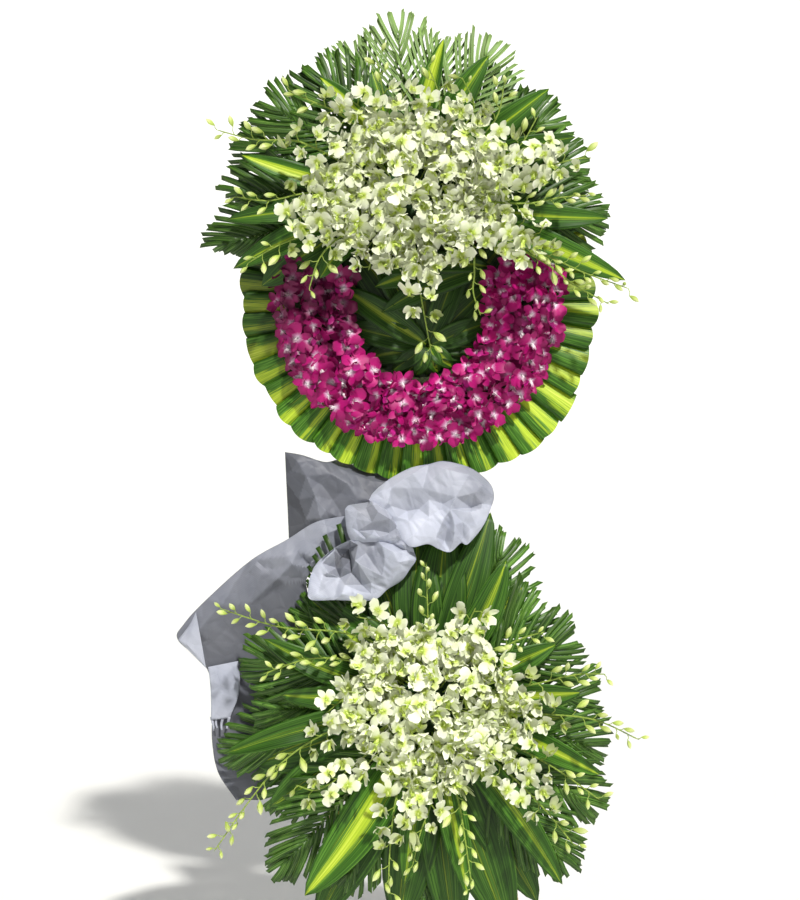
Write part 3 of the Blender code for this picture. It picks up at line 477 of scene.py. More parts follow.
def lashing(first, second, along_first, along_second):
    """Two coils round two crossed canes, as grids. With a the coil's angle, R a cane's
    radius and r the twine's: diagonal x (1.414 R + r) cos a, plus the way from one cane
    to the other x (R sign(sin a) + (R + r) sin a), plus 2.1 r aside for each turn."""
    middle, normal = (first + second) / 2, unit(second - first)
    rows = 112
    a = np.linspace(0, 2 * np.pi * TURNS, rows)[:, None]
    turn = np.linspace(0, 2 * np.pi, 7)[None, :, None]
    thick = np.full((rows, 1, 1), TWINE_R)
    thick[[0, -1]] = 0
    grids = []
    for sign, over in ((1, TWINE_R), (-1, 3 * TWINE_R)):
        diagonal = unit(along_first + sign * along_second)
        aside = np.cross(normal, diagonal)
        line = middle + (1.414 * POLE_R + over) * np.cos(a) * diagonal
        line = line + (POLE_R * np.sign(np.sin(a)) + (POLE_R + over) * np.sin(a)) * normal
        line = line + 2.1 * TWINE_R * (a / (2 * np.pi) - TURNS / 2) * aside
        ahead = unit(np.gradient(line, axis=0))
        one = unit(np.cross(aside, ahead))
        two = np.cross(ahead, one)
        points = line[:, None] + thick * (np.cos(turn) * one[:, None] + np.sin(turn) * two[:, None])
        uv = (turn[..., 0] / (2 * np.pi), a * 8)
        grids.append(grid((points - SHIFT) @ AXES.T, 0.5, 0.0, 0, uv))
    return grids


ALONG_A_BAR = np.array([1.0, 0, 0])
ties = []
for name, v in BARS.items():
    for side, leg in ((-1, "leg_left"), (1, "leg_right")):
        u = side * (FOOT_U - slope * v)
        w = POLE_R + GAP if name == "bar_upper" else behind_w
        crossing = stand_up([[u, v, leg_w], [u, v, w]])
        ties += lashing(*crossing, unit(poles[leg][1] - poles[leg][0]), ALONG_A_BAR)
ties += lashing(bar, seat, ALONG_A_BAR, down)
make_piece("twine_lashings", ties, [twine])

# %% [markdown]
# ## The boards and the foam
#
# The round board, the low board and the foam are hidden from the front, and their
# solids already have the right shape, so they stay and only get real finishes. They
# show from the back: kraft-faced board with paper fibres, and wet floral foam, a
# brittle green plastic full of pores less than a millimetre wide.

# %% Kraft board
kraft, tree, shader = new_finish("pressed kraft board", Roughness=0.85)
where = add(tree, "TexCoord").outputs["Object"]
fibre = add(tree, "Mapping", {"Vector": where, "Scale": (400.0, 90.0, 90.0)}).outputs[0]
fibre = add(tree, "TexNoise", {"Vector": fibre, "Scale": 1.0, "Detail": 5.0}).outputs[0]
cloud = add(tree, "TexNoise", {"Vector": where, "Scale": 14.0, "Detail": 3.0}).outputs[0]
paper = add(tree, "ValToRGB", {0: fibre}, [(0.3, colour("97774F")), (0.7, colour("BC9C70"))]).outputs[0]
stain = add(tree, "ValToRGB", {0: cloud}, [(0.4, LIGHT), (0.7, colour("B9AC96"))]).outputs[0]
paper = add(tree, "Mix", {0: 0.6, MIX_A: paper, MIX_B: stain}, **MULTIPLIED).outputs[MIX_OUT]
rough = add(tree, "Bump", {"Height": fibre, "Strength": 0.4, "Distance": 0.0005}).outputs[0]
tree.links.new(paper, shader.inputs["Base Color"])
tree.links.new(rough, shader.inputs["Normal"])

# %% Floral foam
# The pores are drawn 1.6 mm wide, about twice their real size, so that they show.
foam, tree, shader = new_finish("wet floral foam", Roughness=0.8)
where = add(tree, "TexCoord").outputs["Object"]
pore = add(tree, "TexVoronoi", {"Vector": where, "Scale": 620.0}).outputs["Distance"]
cloud = add(tree, "TexNoise", {"Vector": where, "Scale": 30.0, "Detail": 4.0}).outputs[0]
green = add(tree, "ValToRGB", {0: cloud}, [(0.35, colour("1A3814")), (0.7, colour("2E5822"))]).outputs[0]
# The pores are painted darker: painted shade inside the pits.
painted_pore_shade = add(tree, "ValToRGB", {0: pore}, [(0.1, colour("6A7A6C")), (0.5, LIGHT)]).outputs[0]
green = add(tree, "Mix", {0: 1.0, MIX_A: green, MIX_B: painted_pore_shade}, **MULTIPLIED).outputs[MIX_OUT]
rough = add(tree, "Bump", {"Height": pore, "Strength": 0.6, "Distance": 0.0008}).outputs[0]
tree.links.new(green, shader.inputs["Base Color"])
tree.links.new(rough, shader.inputs["Normal"])
for name, finish in (("board_round", kraft), ("board_low", kraft), ("foam_top", foam), ("foam_low", foam)):
    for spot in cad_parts[name].material_slots:
        spot.material = finish
print("boards and foam finished")

# %% [markdown]
# ## The striped leaf's finish
#
# The long leaves are a variegated dracaena: glossy, dark green, with a yellow-green
# stripe along the middle and fine parallel veins. The UV map gives the distance from
# the leaf's middle line, noise roughens the stripe's edge, and the number called kind
# says how wide the stripe is, from none at 0 to the whole leaf at 1.

# %% Striped leaf material
striped, tree, shader = new_finish(
    "glossy dracaena leaf", Roughness=0.44, Coat_Weight=0.03, Specular_IOR_Level=0.28
)
where = add(tree, "UVMap", uv_map="surface").outputs[0]
tone = add(tree, "Attribute", attribute_name="tone").outputs["Fac"]
width = add(tree, "Attribute", attribute_name="kind").outputs["Fac"]
across = add(tree, "SeparateXYZ", {0: where}).outputs["X"]
middle = add(tree, "Math", {0: across, 1: 0.5}, operation="SUBTRACT").outputs[0]
middle = add(tree, "Math", {0: middle}, operation="ABSOLUTE").outputs[0]
place = add(tree, "TexCoord").outputs["Object"]
vein = add(tree, "Mapping", {"Vector": where, "Scale": (34.0, 1.6, 1.0)}).outputs[0]
vein = add(tree, "VectorMath", {0: vein, 1: place}, operation="ADD").outputs[0]
vein = add(tree, "TexNoise", {"Vector": vein, "Scale": 1.0, "Detail": 2.0}).outputs[0]
ragged = add(tree, "Math", {0: vein, 1: 0.5, 2: -0.25}, operation="MULTIPLY_ADD").outputs[0]
ragged = add(tree, "Math", {0: middle, 1: ragged}).outputs[0]
edge = add(tree, "Math", {0: width, 1: 0.42, 2: -0.02}, operation="MULTIPLY_ADD").outputs[0]
past = add(tree, "Math", {0: ragged, 1: edge}, operation="SUBTRACT").outputs[0]
stripe = add(tree, "ValToRGB", {0: past}, [(0.0, LIGHT), (0.06, DARK)]).outputs[0]
body = add(
    tree, "ValToRGB", {0: vein},
    [(0.3, colour("1C3806")), (0.5, colour("325D0F")), (0.75, colour("5F8E2E"))],
).outputs[0]
bright = add(
    tree, "ValToRGB", {0: vein},
    [(0.3, colour("7C9A1E")), (0.55, colour("A9BE2E")), (0.75, colour("CDD65E"))],
).outputs[0]
leaf = add(tree, "Mix", {0: stripe, MIX_A: body, MIX_B: bright}, **COLOURS).outputs[MIX_OUT]
# The tone sets how light the leaf is: it differs at random, and it is also set to paint light and shade.
value = add(tree, "Math", {0: tone, 1: 1.0, 2: 0.5}, operation="MULTIPLY_ADD").outputs[0]
leaf = add(tree, "HueSaturation", {"Value": value, "Color": leaf}).outputs[0]
rough = add(tree, "Bump", {"Height": vein, "Strength": 0.35, "Distance": 0.0006}).outputs[0]
tree.links.new(leaf, shader.inputs["Base Color"])
tree.links.new(rough, shader.inputs["Normal"])

# %% [markdown]
# ## The rim
#
# Forty-five leaves are folded over the edge of the board, each tucked under the fold of
# the next, so the rim looks like a row of pleats with a bright stripe on each. One leaf
# is a grid that fans out from the board's centre: the angle gives the columns, and the
# rows run outwards and then roll over the edge. Its height is a rounded fold at one
# side that falls to the other side, where the next leaf's fold covers it.

# %% Fold the rim
DISC, BOARD_T = BOARD_AT[:2], 0.020
DISC_U, DISC_V = DISC
RIM_LEAVES, RIM_ARCS = 45, 3
RIM_IN, RIM_OUT, RIM_SCALLOP, RIM_PLEAT = 0.232, 0.3175, 0.0075, 0.012
RIM_BULGE, BULGE_AT, BULGE_HALF, RIM_FLAT = 0.013, 314, 21, 0.003  # the middle two in degrees
ROLL_FROM, ROLL_PART, ROLL_TURN = 0.80, 0.20, 1.9  # shares of the leaf, radians
LEAF_T = 0.0006
random = np.random.default_rng(3)
pitch = 2 * np.pi / RIM_LEAVES
s = np.linspace(0, 1, 11)[None, None, :]  # across a leaf, from its fold to its tucked edge
t = np.linspace(0, 1, 10)[None, :, None]  # out along it
nudge = random.normal(0, 1, (5, RIM_LEAVES, 1, 1))
number = np.arange(RIM_LEAVES)[:, None, None]
angle = (number + 0.02 + 1.20 * s + 0.035 * nudge[0]) * pitch + 0.03 * pitch * nudge[1] * t
roll = np.clip((t - ROLL_FROM) / ROLL_PART, 0, 1)  # the part that turns over the board's edge
reach = RIM_OUT - RIM_SCALLOP * np.abs(2 * s - 0.9) ** 2.0 * (1 + 0.4 * nudge[4]) + 0.0024 * nudge[2]
# The board's edge isn't a true circle: it bulges at the lower right and is a little
# flatter at the left.
reach = reach + RIM_BULGE * np.exp(-(((angle - np.radians(BULGE_AT)) / np.radians(BULGE_HALF)) ** 2))
reach = reach - RIM_FLAT * np.clip(-np.cos(angle), 0, 1) ** 6
radius = RIM_IN + (reach - RIM_IN) * np.minimum(t / ROLL_FROM, 1)
radius = radius - 0.016 * (1 - np.cos(roll * ROLL_TURN)) * 0.6
fold = RIM_PLEAT * (0.25 + 0.75 * np.sin(np.pi * np.clip(0.16 + 0.95 * s, 0, 1)) ** 0.8) * (1 - 0.55 * s)
fold = fold * (0.75 + 0.25 * t) + 0.0012 * nudge[3] * t + 0.0025 * (1 - s)
w = BOARD_T + GAP + 0.001 + fold - 0.003 * t**2
w = w - 0.017 * np.sin(np.clip(roll * ROLL_TURN, 0, np.pi / 2)) - 0.006 * (roll > 0.8)
u, v = DISC_U + radius * np.cos(angle), DISC_V + radius * np.sin(angle)
rim = np.stack(np.broadcast_arrays(u, v, w), -1)
# Painted light and shade: the tones make leaves at the bottom lighter, where the sun
# falls, and those at the top, and most of all at the left, darker, where the top bunch
# shades them. Each leaf also differs at random.
where = np.arange(RIM_LEAVES) * pitch
lit = 0.44 + 0.10 * random.normal(0, 1, RIM_LEAVES) - 0.34 * np.sin(where) - 0.10 * np.cos(where)
lit = np.clip(lit - 0.60 * np.exp(-(((where - np.radians(182)) / np.radians(34)) ** 2)), -0.2, 1.1)
wide = np.clip(0.21 + 0.08 * random.normal(0, 1, RIM_LEAVES), 0.1, 0.5)
wide[random.integers(0, RIM_LEAVES, 5)] = 0.06  # a few leaves show hardly any stripe
wide = wide[:, None, None] * (0.7 + 0.55 * t + 0 * s)  # a stripe widens outwards
each = RIM_LEAVES // RIM_ARCS
for arc in range(RIM_ARCS):
    own = slice(arc * each, (arc + 1) * each)
    uv = (0.5 + 0.62 * (s - 0.58), t + number[own] * 1.37)
    leaves = grid(rim[own], lit[own], wide[own], 0, uv)
    make_piece(f"rim_leaves_{arc + 1}", [leaves], [striped], [f"rim_{arc + 1}"], LEAF_T)

# %% [markdown]
# ## Long leaves
#
# One function makes every long leaf on the wreath. A leaf follows a middle line; its
# half width rises to just before half way and closes at the tip, like t to the power
# 0.6 times (1 - t) to the power 0.7. Its two halves fold up from the middle line, its
# edges wave, and a small twist turns it, because no leaf lies flat.


# %% A long leaf from its middle line
def long_leaves(lines, width, fold, wave, twist, seed):
    """Leaves along lines (copies, rows, 3). Across the leaf a point sits at s from -1
    to 1: s x half width sideways, and fold x |s| x half width plus a wave upwards."""
    random = np.random.default_rng(seed)
    copies, rows = lines.shape[:2]
    t = np.linspace(0, 1, rows)[None, :, None]
    s = np.linspace(-1, 1, 9)[None, None, :]
    ahead = unit(np.gradient(lines, axis=1))
    side = unit(np.cross(ahead, [0.0, 0.0, 1.0]))
    out = np.cross(side, ahead)
    shape = np.maximum(2.5 * t**0.6 * (1 - t) ** 0.7, 0.16 * (1 - t))
    width, fold, wave, twist = (
        np.broadcast_to(np.asarray(x, float), copies)[:, None, None] for x in (width, fold, wave, twist)
    )
    half = width / 2 * shape
    phase = random.uniform(0, 6, (copies, 1, 1))
    ripple = wave * s**2 * np.sin(2 * np.pi * (2.3 * t + 0.1 * phase) + phase * np.sign(s))
    raised = fold * half * np.abs(s) ** 1.2 + ripple * np.minimum(1, 4 * (1 - t))
    turn = twist * t
    aside = s * half
    move_side = (aside * np.cos(turn) - raised * np.sin(turn))[..., None] * side[:, :, None]
    move_out = (aside * np.sin(turn) + raised * np.cos(turn))[..., None] * out[:, :, None]
    return lines[:, :, None] + move_side + move_out


# %% [markdown]
# ## The middle of the board
#
# Dark leaves open like a hand from a point low on the board, and four broad ones lie
# across the top of them from the right. The top bunch shades them, and their low tones
# paint that shade darker still. Each leaf of the fan gets a line from the hub to the
# horseshoe's inner edge, a little higher or lower than its neighbours so that they
# overlap.

# %% Spread the fan
HUB_U, HUB_V, FAN_R = 0.014, 1.1725, 0.128
HUB_OFF = np.array([HUB_U - DISC_U, HUB_V - DISC_V])


def to_circle(radius, angle):
    """How far a line from the hub runs before it meets a circle round the board's
    centre. With o the hub's offset from that centre and a its part along the line:
    the root of (radius^2 - (o^2 - a^2)), less a."""
    along = HUB_OFF[0] * np.cos(angle) + HUB_OFF[1] * np.sin(angle)
    return np.sqrt(radius**2 - (HUB_OFF @ HUB_OFF - along**2)) - along


def from_hub(far, angle, w):
    """Lines out from the hub: far x (cos, sin) of each line's angle, at height w."""
    u, v = HUB_U + far * np.cos(angle)[:, None], HUB_V + far * np.sin(angle)[:, None]
    return np.stack([u, v, w + 0 * far], -1)


random = np.random.default_rng(5)
degrees = np.array([0, 24, 45, 68, 92, 118, 147, 168, 190, 212, 233, 252, 270, 287, 305, 322, 341.0])
angle = np.radians(degrees + random.normal(0, 2.0, len(degrees)))
reach = to_circle(FAN_R, angle)
t = np.linspace(0, 1, 14)[None, :]
level = np.where(np.arange(len(degrees)) % 2, 0.0035, 0.0)
level[6] = 0.008  # this one lies on top
far = 0.004 + (reach[:, None] * 1.04 - 0.004) * t
arch = BOARD_T + 0.004 + level[:, None] + 0.007 * np.sin(np.pi * t) + 0.003 * (1 - t)
lines = from_hub(far, angle, arch)
broad = np.clip(reach * 0.40, 0.030, 0.050)
stripe = np.array([0, 0, 0, 0, 0.1, 0, 0.2, 0, 0.12, 0, 0.1, 0, 0, 0.25, 0.1, 0.3, 0])
# Painted shade: the fan's tones are low, for the top bunch's shadow, and the three set higher next are
# painted light.
lit = -0.14 + 0.12 * random.random(len(degrees))
lit[[6, 13, 15]] = (0.02, 0.30, 0.14)  # these catch some light
fan = grid(long_leaves(lines, broad, 0.22, 0.001, 0.0, 6), lit, stripe)
# Broader leaves under the fan hide the board. Those that point up run on between the
# ends of the horseshoe.
UNDER_LEAVES = 15
number = np.arange(UNDER_LEAVES)
angle = np.radians(8 + 24 * number + random.normal(0, 2.0, UNDER_LEAVES))
reach = to_circle(np.where(np.sin(angle) > 0.45, 0.215, 0.142), angle)
level = BOARD_T + 0.0020 + 0.0010 * (number % 3)[:, None]
lower = from_hub(reach[:, None] * 1.1 * t, angle, level)
lower = long_leaves(lower, np.clip(reach * 0.62, 0.05, 0.085), 0.05, 0.0006, 0.0, 8)
# These tones are low too: painted shade.
under = grid(lower, -0.16 + 0.1 * random.random(UNDER_LEAVES), 0.0)
make_piece("fan_leaves", [fan, under], [striped], ["centre_fan"], LEAF_T)

# %% Lay the four leaves across
ACROSS_U, ACROSS_V = 0.122, 1.310
# degrees, length, width, place in the pile from the lowest, tone, stripe
# The tones are low: painted shade from the top bunch.
across_leaves = np.array(
    [
        (176, 0.198, 0.044, 0, 0.0, 0.1),
        (190, 0.205, 0.046, 1, 0.14, 0.2),
        (203, 0.206, 0.046, 2, 0.04, 0.0),
        (183, 0.20, 0.04, 3.2, 0.0, 0.15),
    ]
)
angle = np.radians(across_leaves[:, :1])
far = across_leaves[:, 1:2] * t
lift = BOARD_T + 0.017 + 0.004 * across_leaves[:, 3:4]
lines = np.stack(
    [
        ACROSS_U + far * np.cos(angle),
        ACROSS_V + far * np.sin(angle) + 0.012 * np.sin(np.pi * t),
        lift + 0.004 * np.sin(np.pi * t) - 0.006 * (1 - t) ** 2 + 0 * far,
    ],
    -1,
)
leaves = long_leaves(lines, across_leaves[:, 2], 0.12, 0.0012, 0.0, 7)
leaves = grid(leaves, across_leaves[:, 4], across_leaves[:, 5])
make_piece("across_leaves", [leaves], [striped], ["centre_leaves"], LEAF_T)

# %% [markdown]
# ## One dendrobium orchid
#
# Every flower here, white or magenta, is the same kind: three narrow sepals, two broad
# petals, and a lip below that juts forward under a small column. Each of the six is a
# grid of five rows and three columns, only eight faces, because hundreds repeat.
# Radius 1 stands for half the flower. A number called cup closes the flower: it lifts
# each petal by cup times its length squared, so buds that are half open come free.

# %% The flower's outline
SEPAL = (0.35, 0.88, 1.0, 0.70, 0.12)  # shares of the half width, from throat to tip
PETAL = (0.25, 0.78, 1.0, 0.92, 0.40)
LIP_OUTLINE = (0.6, 0.6, 0.8, 1.0, 0.6)
FLOWER = (  # direction in degrees, length, half width, outline, kind
    (90, 1.0, 0.27, SEPAL, 0.0),
    (216, 0.97, 0.26, SEPAL, 0.0),
    (324, 0.97, 0.26, SEPAL, 0.0),
    (166, 1.0, 0.44, PETAL, 0.0),
    (14, 1.0, 0.44, PETAL, 0.0),
    (270, 0.62, 0.26, LIP_OUTLINE, 0.5),
)
PETALS, LIP = (3, 4), 5  # their places in FLOWER


def flowers(centres, facing, up, radius, cup, seed):
    """Flowers at the centres: a petal's point is its length times t along its own
    direction, s times its half width aside, and cup t^2 + curl forward."""
    random = np.random.default_rng(seed)
    count = len(centres)
    t = np.array([0, 0.3, 0.6, 0.85, 1.0])[:, None]
    s = np.array([-1.0, 0, 1.0])[None, :]
    cup = np.broadcast_to(cup, count)[:, None, None]
    parts = []
    for number, (degrees, length, half, outline, kind) in enumerate(FLOWER):
        angle = np.radians(degrees) + random.normal(0, 0.09, (count, 1, 1))
        size = 1 + random.normal(0, 0.06, (count, 1, 1))
        shorter = 1 - 0.35 * np.clip(cup, 0, 1.2) * t
        far = (0.05 + length * size * t * (1 - 0.06 * (np.abs(s) > 0))) * shorter
        aside = s * half * size * np.array(outline)[:, None] * (1 - 0.2 * np.clip(cup, 0, 1.5))
        curl = random.normal(0.0, 0.10, (count, 1, 1)) * t**2
        curl = curl + random.normal(0, 0.06, (count, 1, 1)) * s * t
        bent = 0.16 * s**2 * t * (1 if number in PETALS else -0.6)
        rise = 0.02 * number + cup * t**2 * length + curl - bent
        if number == LIP:
            rise = 0.30 * np.sin(np.pi * np.minimum(1, 1.2 * t)) + 0.18 * s**2 * (1 - t)
            rise = rise + curl + cup * 0.6 * t + 0.06
        x = far * np.cos(angle) + aside * np.sin(angle)
        y = far * np.sin(angle) - aside * np.cos(angle)
        parts.append(np.stack(np.broadcast_arrays(x, y, rise), -1))
    local = np.stack(parts, 1)  # flower, part, row, column, axis
    front = unit(facing)
    right = unit(np.cross(up, front))
    frames = np.stack([right, np.cross(front, right), front], 1)
    radius = np.broadcast_to(radius, count)
    placed = np.einsum("npija,nab->npijb", local, frames) * radius[:, None, None, None, None]
    tips = np.array([[0, -0.02, -0.02], [0, -0.06, 0.20], [0, -0.16, 0.32]])
    stalk = np.einsum("ra,nab->nrb", tips, frames) * radius[:, None, None] + centres[:, None]
    column = tubes(stalk, radius[:, None] * np.array([0.08, 0.09, 0.03]), 4)
    return placed + centres[:, None, None, None], column


def flower_grids(centres, facing, up, radius, cup, tone, seed):
    """The flowers' petals and columns as grids, with their tones and kinds."""
    petals, column = flowers(centres, facing, up, radius, cup, seed)
    kinds = np.tile([part[4] for part in FLOWER], len(centres))
    tone = np.broadcast_to(tone, len(centres))
    return [grid(petals, np.repeat(tone, len(FLOWER)), kinds), grid(column, tone, 1.0)]


# %% [markdown]
# ## The petals' finishes
#
# A petal is thin, soft and slightly waxy, with a faint sheen and fine veins that run to
# its tip. Magenta dendrobiums are white at the throat; the white ones are yellow-green
# there, and greener all over while they open. The UV map's second number is the
# distance from the throat, so a ramp on it paints each petal.


# %% Petal materials
def petal_finish(name, throat, blade, lip, column, low_tone_colour):
    """A petal's nodes: a ramp from throat to tip, veins, a lip, a column and a tone."""
    made, tree, shader = new_finish(name, Roughness=0.5, Sheen_Weight=0.03, Specular_IOR_Level=0.3)
    where = add(tree, "UVMap", uv_map="surface").outputs[0]
    tone = add(tree, "Attribute", attribute_name="tone").outputs["Fac"]
    kind = add(tree, "Attribute", attribute_name="kind").outputs["Fac"]
    place = add(tree, "TexCoord").outputs["Object"]
    vein = add(tree, "Mapping", {"Vector": where, "Scale": (9.0, 1.2, 1.0)}).outputs[0]
    vein = add(
        tree, "VectorMath", {0: place, 1: (40, 40, 40), 2: vein}, operation="MULTIPLY_ADD"
    ).outputs[0]
    vein = add(tree, "TexNoise", {"Vector": vein, "Scale": 1.0, "Detail": 2.0}).outputs[0]
    out = add(tree, "SeparateXYZ", {0: where}).outputs["Y"]
    out = add(tree, "Math", {0: vein, 1: 0.22, 2: out}, operation="MULTIPLY_ADD").outputs[0]
    petal = add(
        tree, "ValToRGB", {0: out},
        [(0.10, throat[0]), (0.24, throat[1]), (0.38, blade[0]), (1.0, blade[1])],
    ).outputs[0]
    tongue = add(tree, "ValToRGB", {0: out}, [(0.1, lip[0]), (0.5, lip[1]), (0.9, lip[2])]).outputs[0]
    is_lip = add(tree, "ValToRGB", {0: kind}, [(0.24, DARK), (0.26, LIGHT)]).outputs[0]
    is_column = add(tree, "ValToRGB", {0: kind}, [(0.74, DARK), (0.76, LIGHT)]).outputs[0]
    base = add(tree, "Mix", {0: is_lip, MIX_A: petal, MIX_B: tongue}, **COLOURS).outputs[MIX_OUT]
    base = add(tree, "Mix", {0: is_column, MIX_A: base, MIX_B: column}, **COLOURS).outputs[MIX_OUT]
    # A low tone turns a petal towards the last colour given and makes it darker. For white flowers that is
    # their green while they open; for magenta ones it is a dark magenta, which paints shade on flowers
    # whose tone is set low for it.
    young = add(tree, "ValToRGB", {0: tone}, [(0.0, LIGHT), (0.45, DARK)]).outputs[0]
    young = add(tree, "Math", {0: young, 1: 0.7}, operation="MULTIPLY").outputs[0]
    base = add(tree, "Mix", {0: young, MIX_A: base, MIX_B: low_tone_colour}, **COLOURS).outputs[MIX_OUT]
    value = add(tree, "Math", {0: tone, 1: 0.5, 2: 0.68}, operation="MULTIPLY_ADD").outputs[0]
    base = add(tree, "HueSaturation", {"Value": value, "Color": base}).outputs[0]
    rough = add(tree, "Bump", {"Height": vein, "Strength": 0.25, "Distance": 0.0006}).outputs[0]
    tree.links.new(base, shader.inputs["Base Color"])
    tree.links.new(rough, shader.inputs["Normal"])
    return made


magenta = petal_finish(
    "magenta dendrobium petal",
    (colour("EEE0EA"), colour("CC86B2")),
    (colour("B2066E"), colour("900458")),
    (colour("E6D0DC"), colour("8C0A5E"), colour("B4107E")),
    colour("F0E8EA"),
    # The last colour, a dark magenta, paints shade on low-toned flowers.
    colour("6A0A42"),
)
white = petal_finish(
    "white dendrobium petal",
    (colour("9DB636"), colour("BDCC62")),
    (colour("D9E0B6"), colour("E7EAD4")),
    (colour("9AB434"), colour("BFCF68"), colour("D9E0B4")),
    colour("CFDD7E"),
    colour("A9BE42"),
)

# %% [markdown]
# ## The horseshoe of magenta orchids
#
# The flowers are pushed in rows into a band of moss that arcs round three fifths of the
# board. Seven rows of places, each shifted against the next and then nudged at random,
# cover the band two or three flowers deep. Flowers near an edge face outwards, over
# the edge, and most hang with the lip down.

# %% A band of moss
RING_FROM, RING_TO, RING_T = 158.0, 382.0, 0.020
MOSS_R, MOSS_HALF, MOSS_AT, MOSS_HIGH = 0.181, 0.048, 0.0065, 0.0105
moss, tree, shader = new_finish("dark moss", Roughness=0.95)
tuft = add(
    tree, "TexNoise", {"Vector": add(tree, "TexCoord").outputs["Object"], "Scale": 260.0, "Detail": 4.0}
).outputs[0]
green = add(tree, "ValToRGB", {0: tuft}, [(0.35, colour("1B1408")), (0.7, colour("33421B"))]).outputs[0]
rough = add(tree, "Bump", {"Height": tuft, "Strength": 0.8, "Distance": 0.003}).outputs[0]
tree.links.new(green, shader.inputs["Base Color"])
tree.links.new(rough, shader.inputs["Normal"])
turn = np.linspace(0, 2 * np.pi, 17)[None, :]
around = np.radians(np.linspace(RING_FROM, RING_TO, 90))[:, None]
swell = np.ones_like(around)
swell[[0, -1]] = 0.0
radius = MOSS_R - MOSS_HALF * np.cos(turn) * swell
w = BOARD_T + MOSS_AT + MOSS_HIGH * np.sin(turn) * swell + 0.003 * hills(around * 30, turn * 2, 4) * swell
band = np.stack([DISC_U + radius * np.cos(around), DISC_V + radius * np.sin(around), w], -1)
make_piece("moss_band", [grid(band)], [moss])

# %% Plant the magenta orchids
random = np.random.default_rng(11)
RING_ARCS, RING_ROWS, RING_INNER, RING_OUTER, FLOWER_STEP = 3, 7, 0.140, 0.240, 0.0275
OPENING_R, OPENING_DEEPER = 0.128, 0.024
STALK_OUTER = 0.226  # stalks start inside the moss's outer edge
spots = []
for row in range(RING_ROWS):
    share = row / (RING_ROWS - 1)
    middle = RING_INNER + (RING_OUTER - RING_INNER) * share
    count = int(round(np.radians(RING_TO - RING_FROM) * middle / FLOWER_STEP))
    degrees = RING_FROM + (RING_TO - RING_FROM) * (np.arange(count) + 0.25 + 0.25 * (row % 3)) / count
    # The opening is a U: it reaches further from the centre at the bottom than at its
    # sides, to the innermost flowers' middles.
    inner = OPENING_R + OPENING_DEEPER * np.clip(-np.sin(np.radians(degrees)), 0, 1) ** 2
    spots.append(np.stack([inner + (RING_OUTER - inner) * share, degrees], -1))
spots = np.concatenate(spots)
radius = spots[:, 0] + random.normal(0, 0.0030, len(spots))
angle = np.radians(spots[:, 1]) + random.normal(0, 0.0035, len(spots)) / radius
level = BOARD_T + RING_T + 0.011 + 0.024 * random.random(len(spots))
level = level - 40 * np.clip(radius - 0.230, 0, 1) ** 2  # the outermost hang lower
centres = np.stack([DISC_U + radius * np.cos(angle), DISC_V + radius * np.sin(angle), level], -1)
tilt = np.clip((radius - 0.186) * 11, -0.7, 0.75)
facing = np.stack([tilt * np.cos(angle), tilt * np.sin(angle) + 0.05, np.ones(len(spots))], -1)
facing += random.normal(0, 0.36, facing.shape) * [1, 1, 0]
roll = random.normal(0, 0.9, len(spots))
up = np.stack([np.sin(roll), np.cos(roll), 0 * roll], -1)
size = 0.0250 + 0.0018 * random.normal(0, 1, len(spots))
cup = np.clip(random.normal(0.16, 0.28, len(spots)), -0.3, 0.9)
tone = np.clip(random.normal(0.60, 0.24, len(spots)), 0.15, 1.0)
# Painted shade: flowers at the upper left get lower tones, so they are darker.
tone = tone - 0.60 * np.clip((225 - spots[:, 1]) / 45, 0, 1)  # painted shade: lower, darker tones at the upper left, in the shade of the leaves above
arc_of = ((spots[:, 1] - RING_FROM) / ((RING_TO - RING_FROM) / RING_ARCS)).astype(int)
arc_of = np.clip(arc_of, 0, RING_ARCS - 1)
for arc in range(RING_ARCS):
    own = arc_of == arc
    grids = flower_grids(centres[own], facing[own], up[own], size[own], cup[own], tone[own], 20 + arc)
    root = centres[own] * [1, 1, 0] + [0, 0, BOARD_T + 0.012]
    root[:, :2] = (root[:, :2] - DISC) * np.minimum(1, STALK_OUTER / radius[own])[:, None] + DISC
    stalks = np.stack([root, (root + centres[own]) / 2, centres[own]], 1)
    grids.append(grid(tubes(stalks, np.array([[0.0014, 0.0012, 0.0012]]), 4), 0.5, 1.0))
    make_piece(f"magenta_orchids_{arc + 1}", grids, [magenta], [f"blossoms_{arc + 1}"])

# %% [markdown]
# ## Bunches and their bowls
#
# Each bunch starts from a block of foam. Palm goes in lowest, then striped leaves, then
# sprays of orchids. Every layer lies on its own shallow bowl round the foam: the height
# starts at the foam, rises with the distance from it and then droops with its square.


# %% The bowls
class Bunch:
    """The foam of one bunch, and the height of each layer round it."""

    def __init__(self, name, u, v, w):
        self.name, self.u, self.v, self.w = name, u, v, w

    def height(self, layer, u, v):
        """start + slope x distance - droop x distance squared, from the foam's side."""
        start, slope, droop = layer
        out = np.hypot(u - self.u, v - self.v) - FOAM_R
        return self.w + start + slope * out - droop * out * out


FOAM_R, FOAM_T = 0.060, 0.112
TOP = Bunch("top", -0.0175, 1.4255, BOARD_T + GAP)
LOW = Bunch("low", 0.0175, 0.551, 0.0126)
BACK, FRONT = (0.036, 0.10, 0.40), (0.052, 0.14, 0.40)
LEAF, SPRAY = (0.068, 0.22, 0.50), (0.092, 0.35, 0.60)

# %% [markdown]
# ## Palm fronds
#
# A frond is a midrib with a comb of narrow leaflets on each side. The florist has
# trimmed them, so the leaflets end square instead of in a point. All leaflets of a
# frond are one array: the frond's own line gives their roots, their angle to the midrib
# closes from 64 degrees at the foam to 18 at the tip, and each one is folded along its
# middle like a gutter. In the top bunch the two fronds that point up are a paler,
# feathery kind.

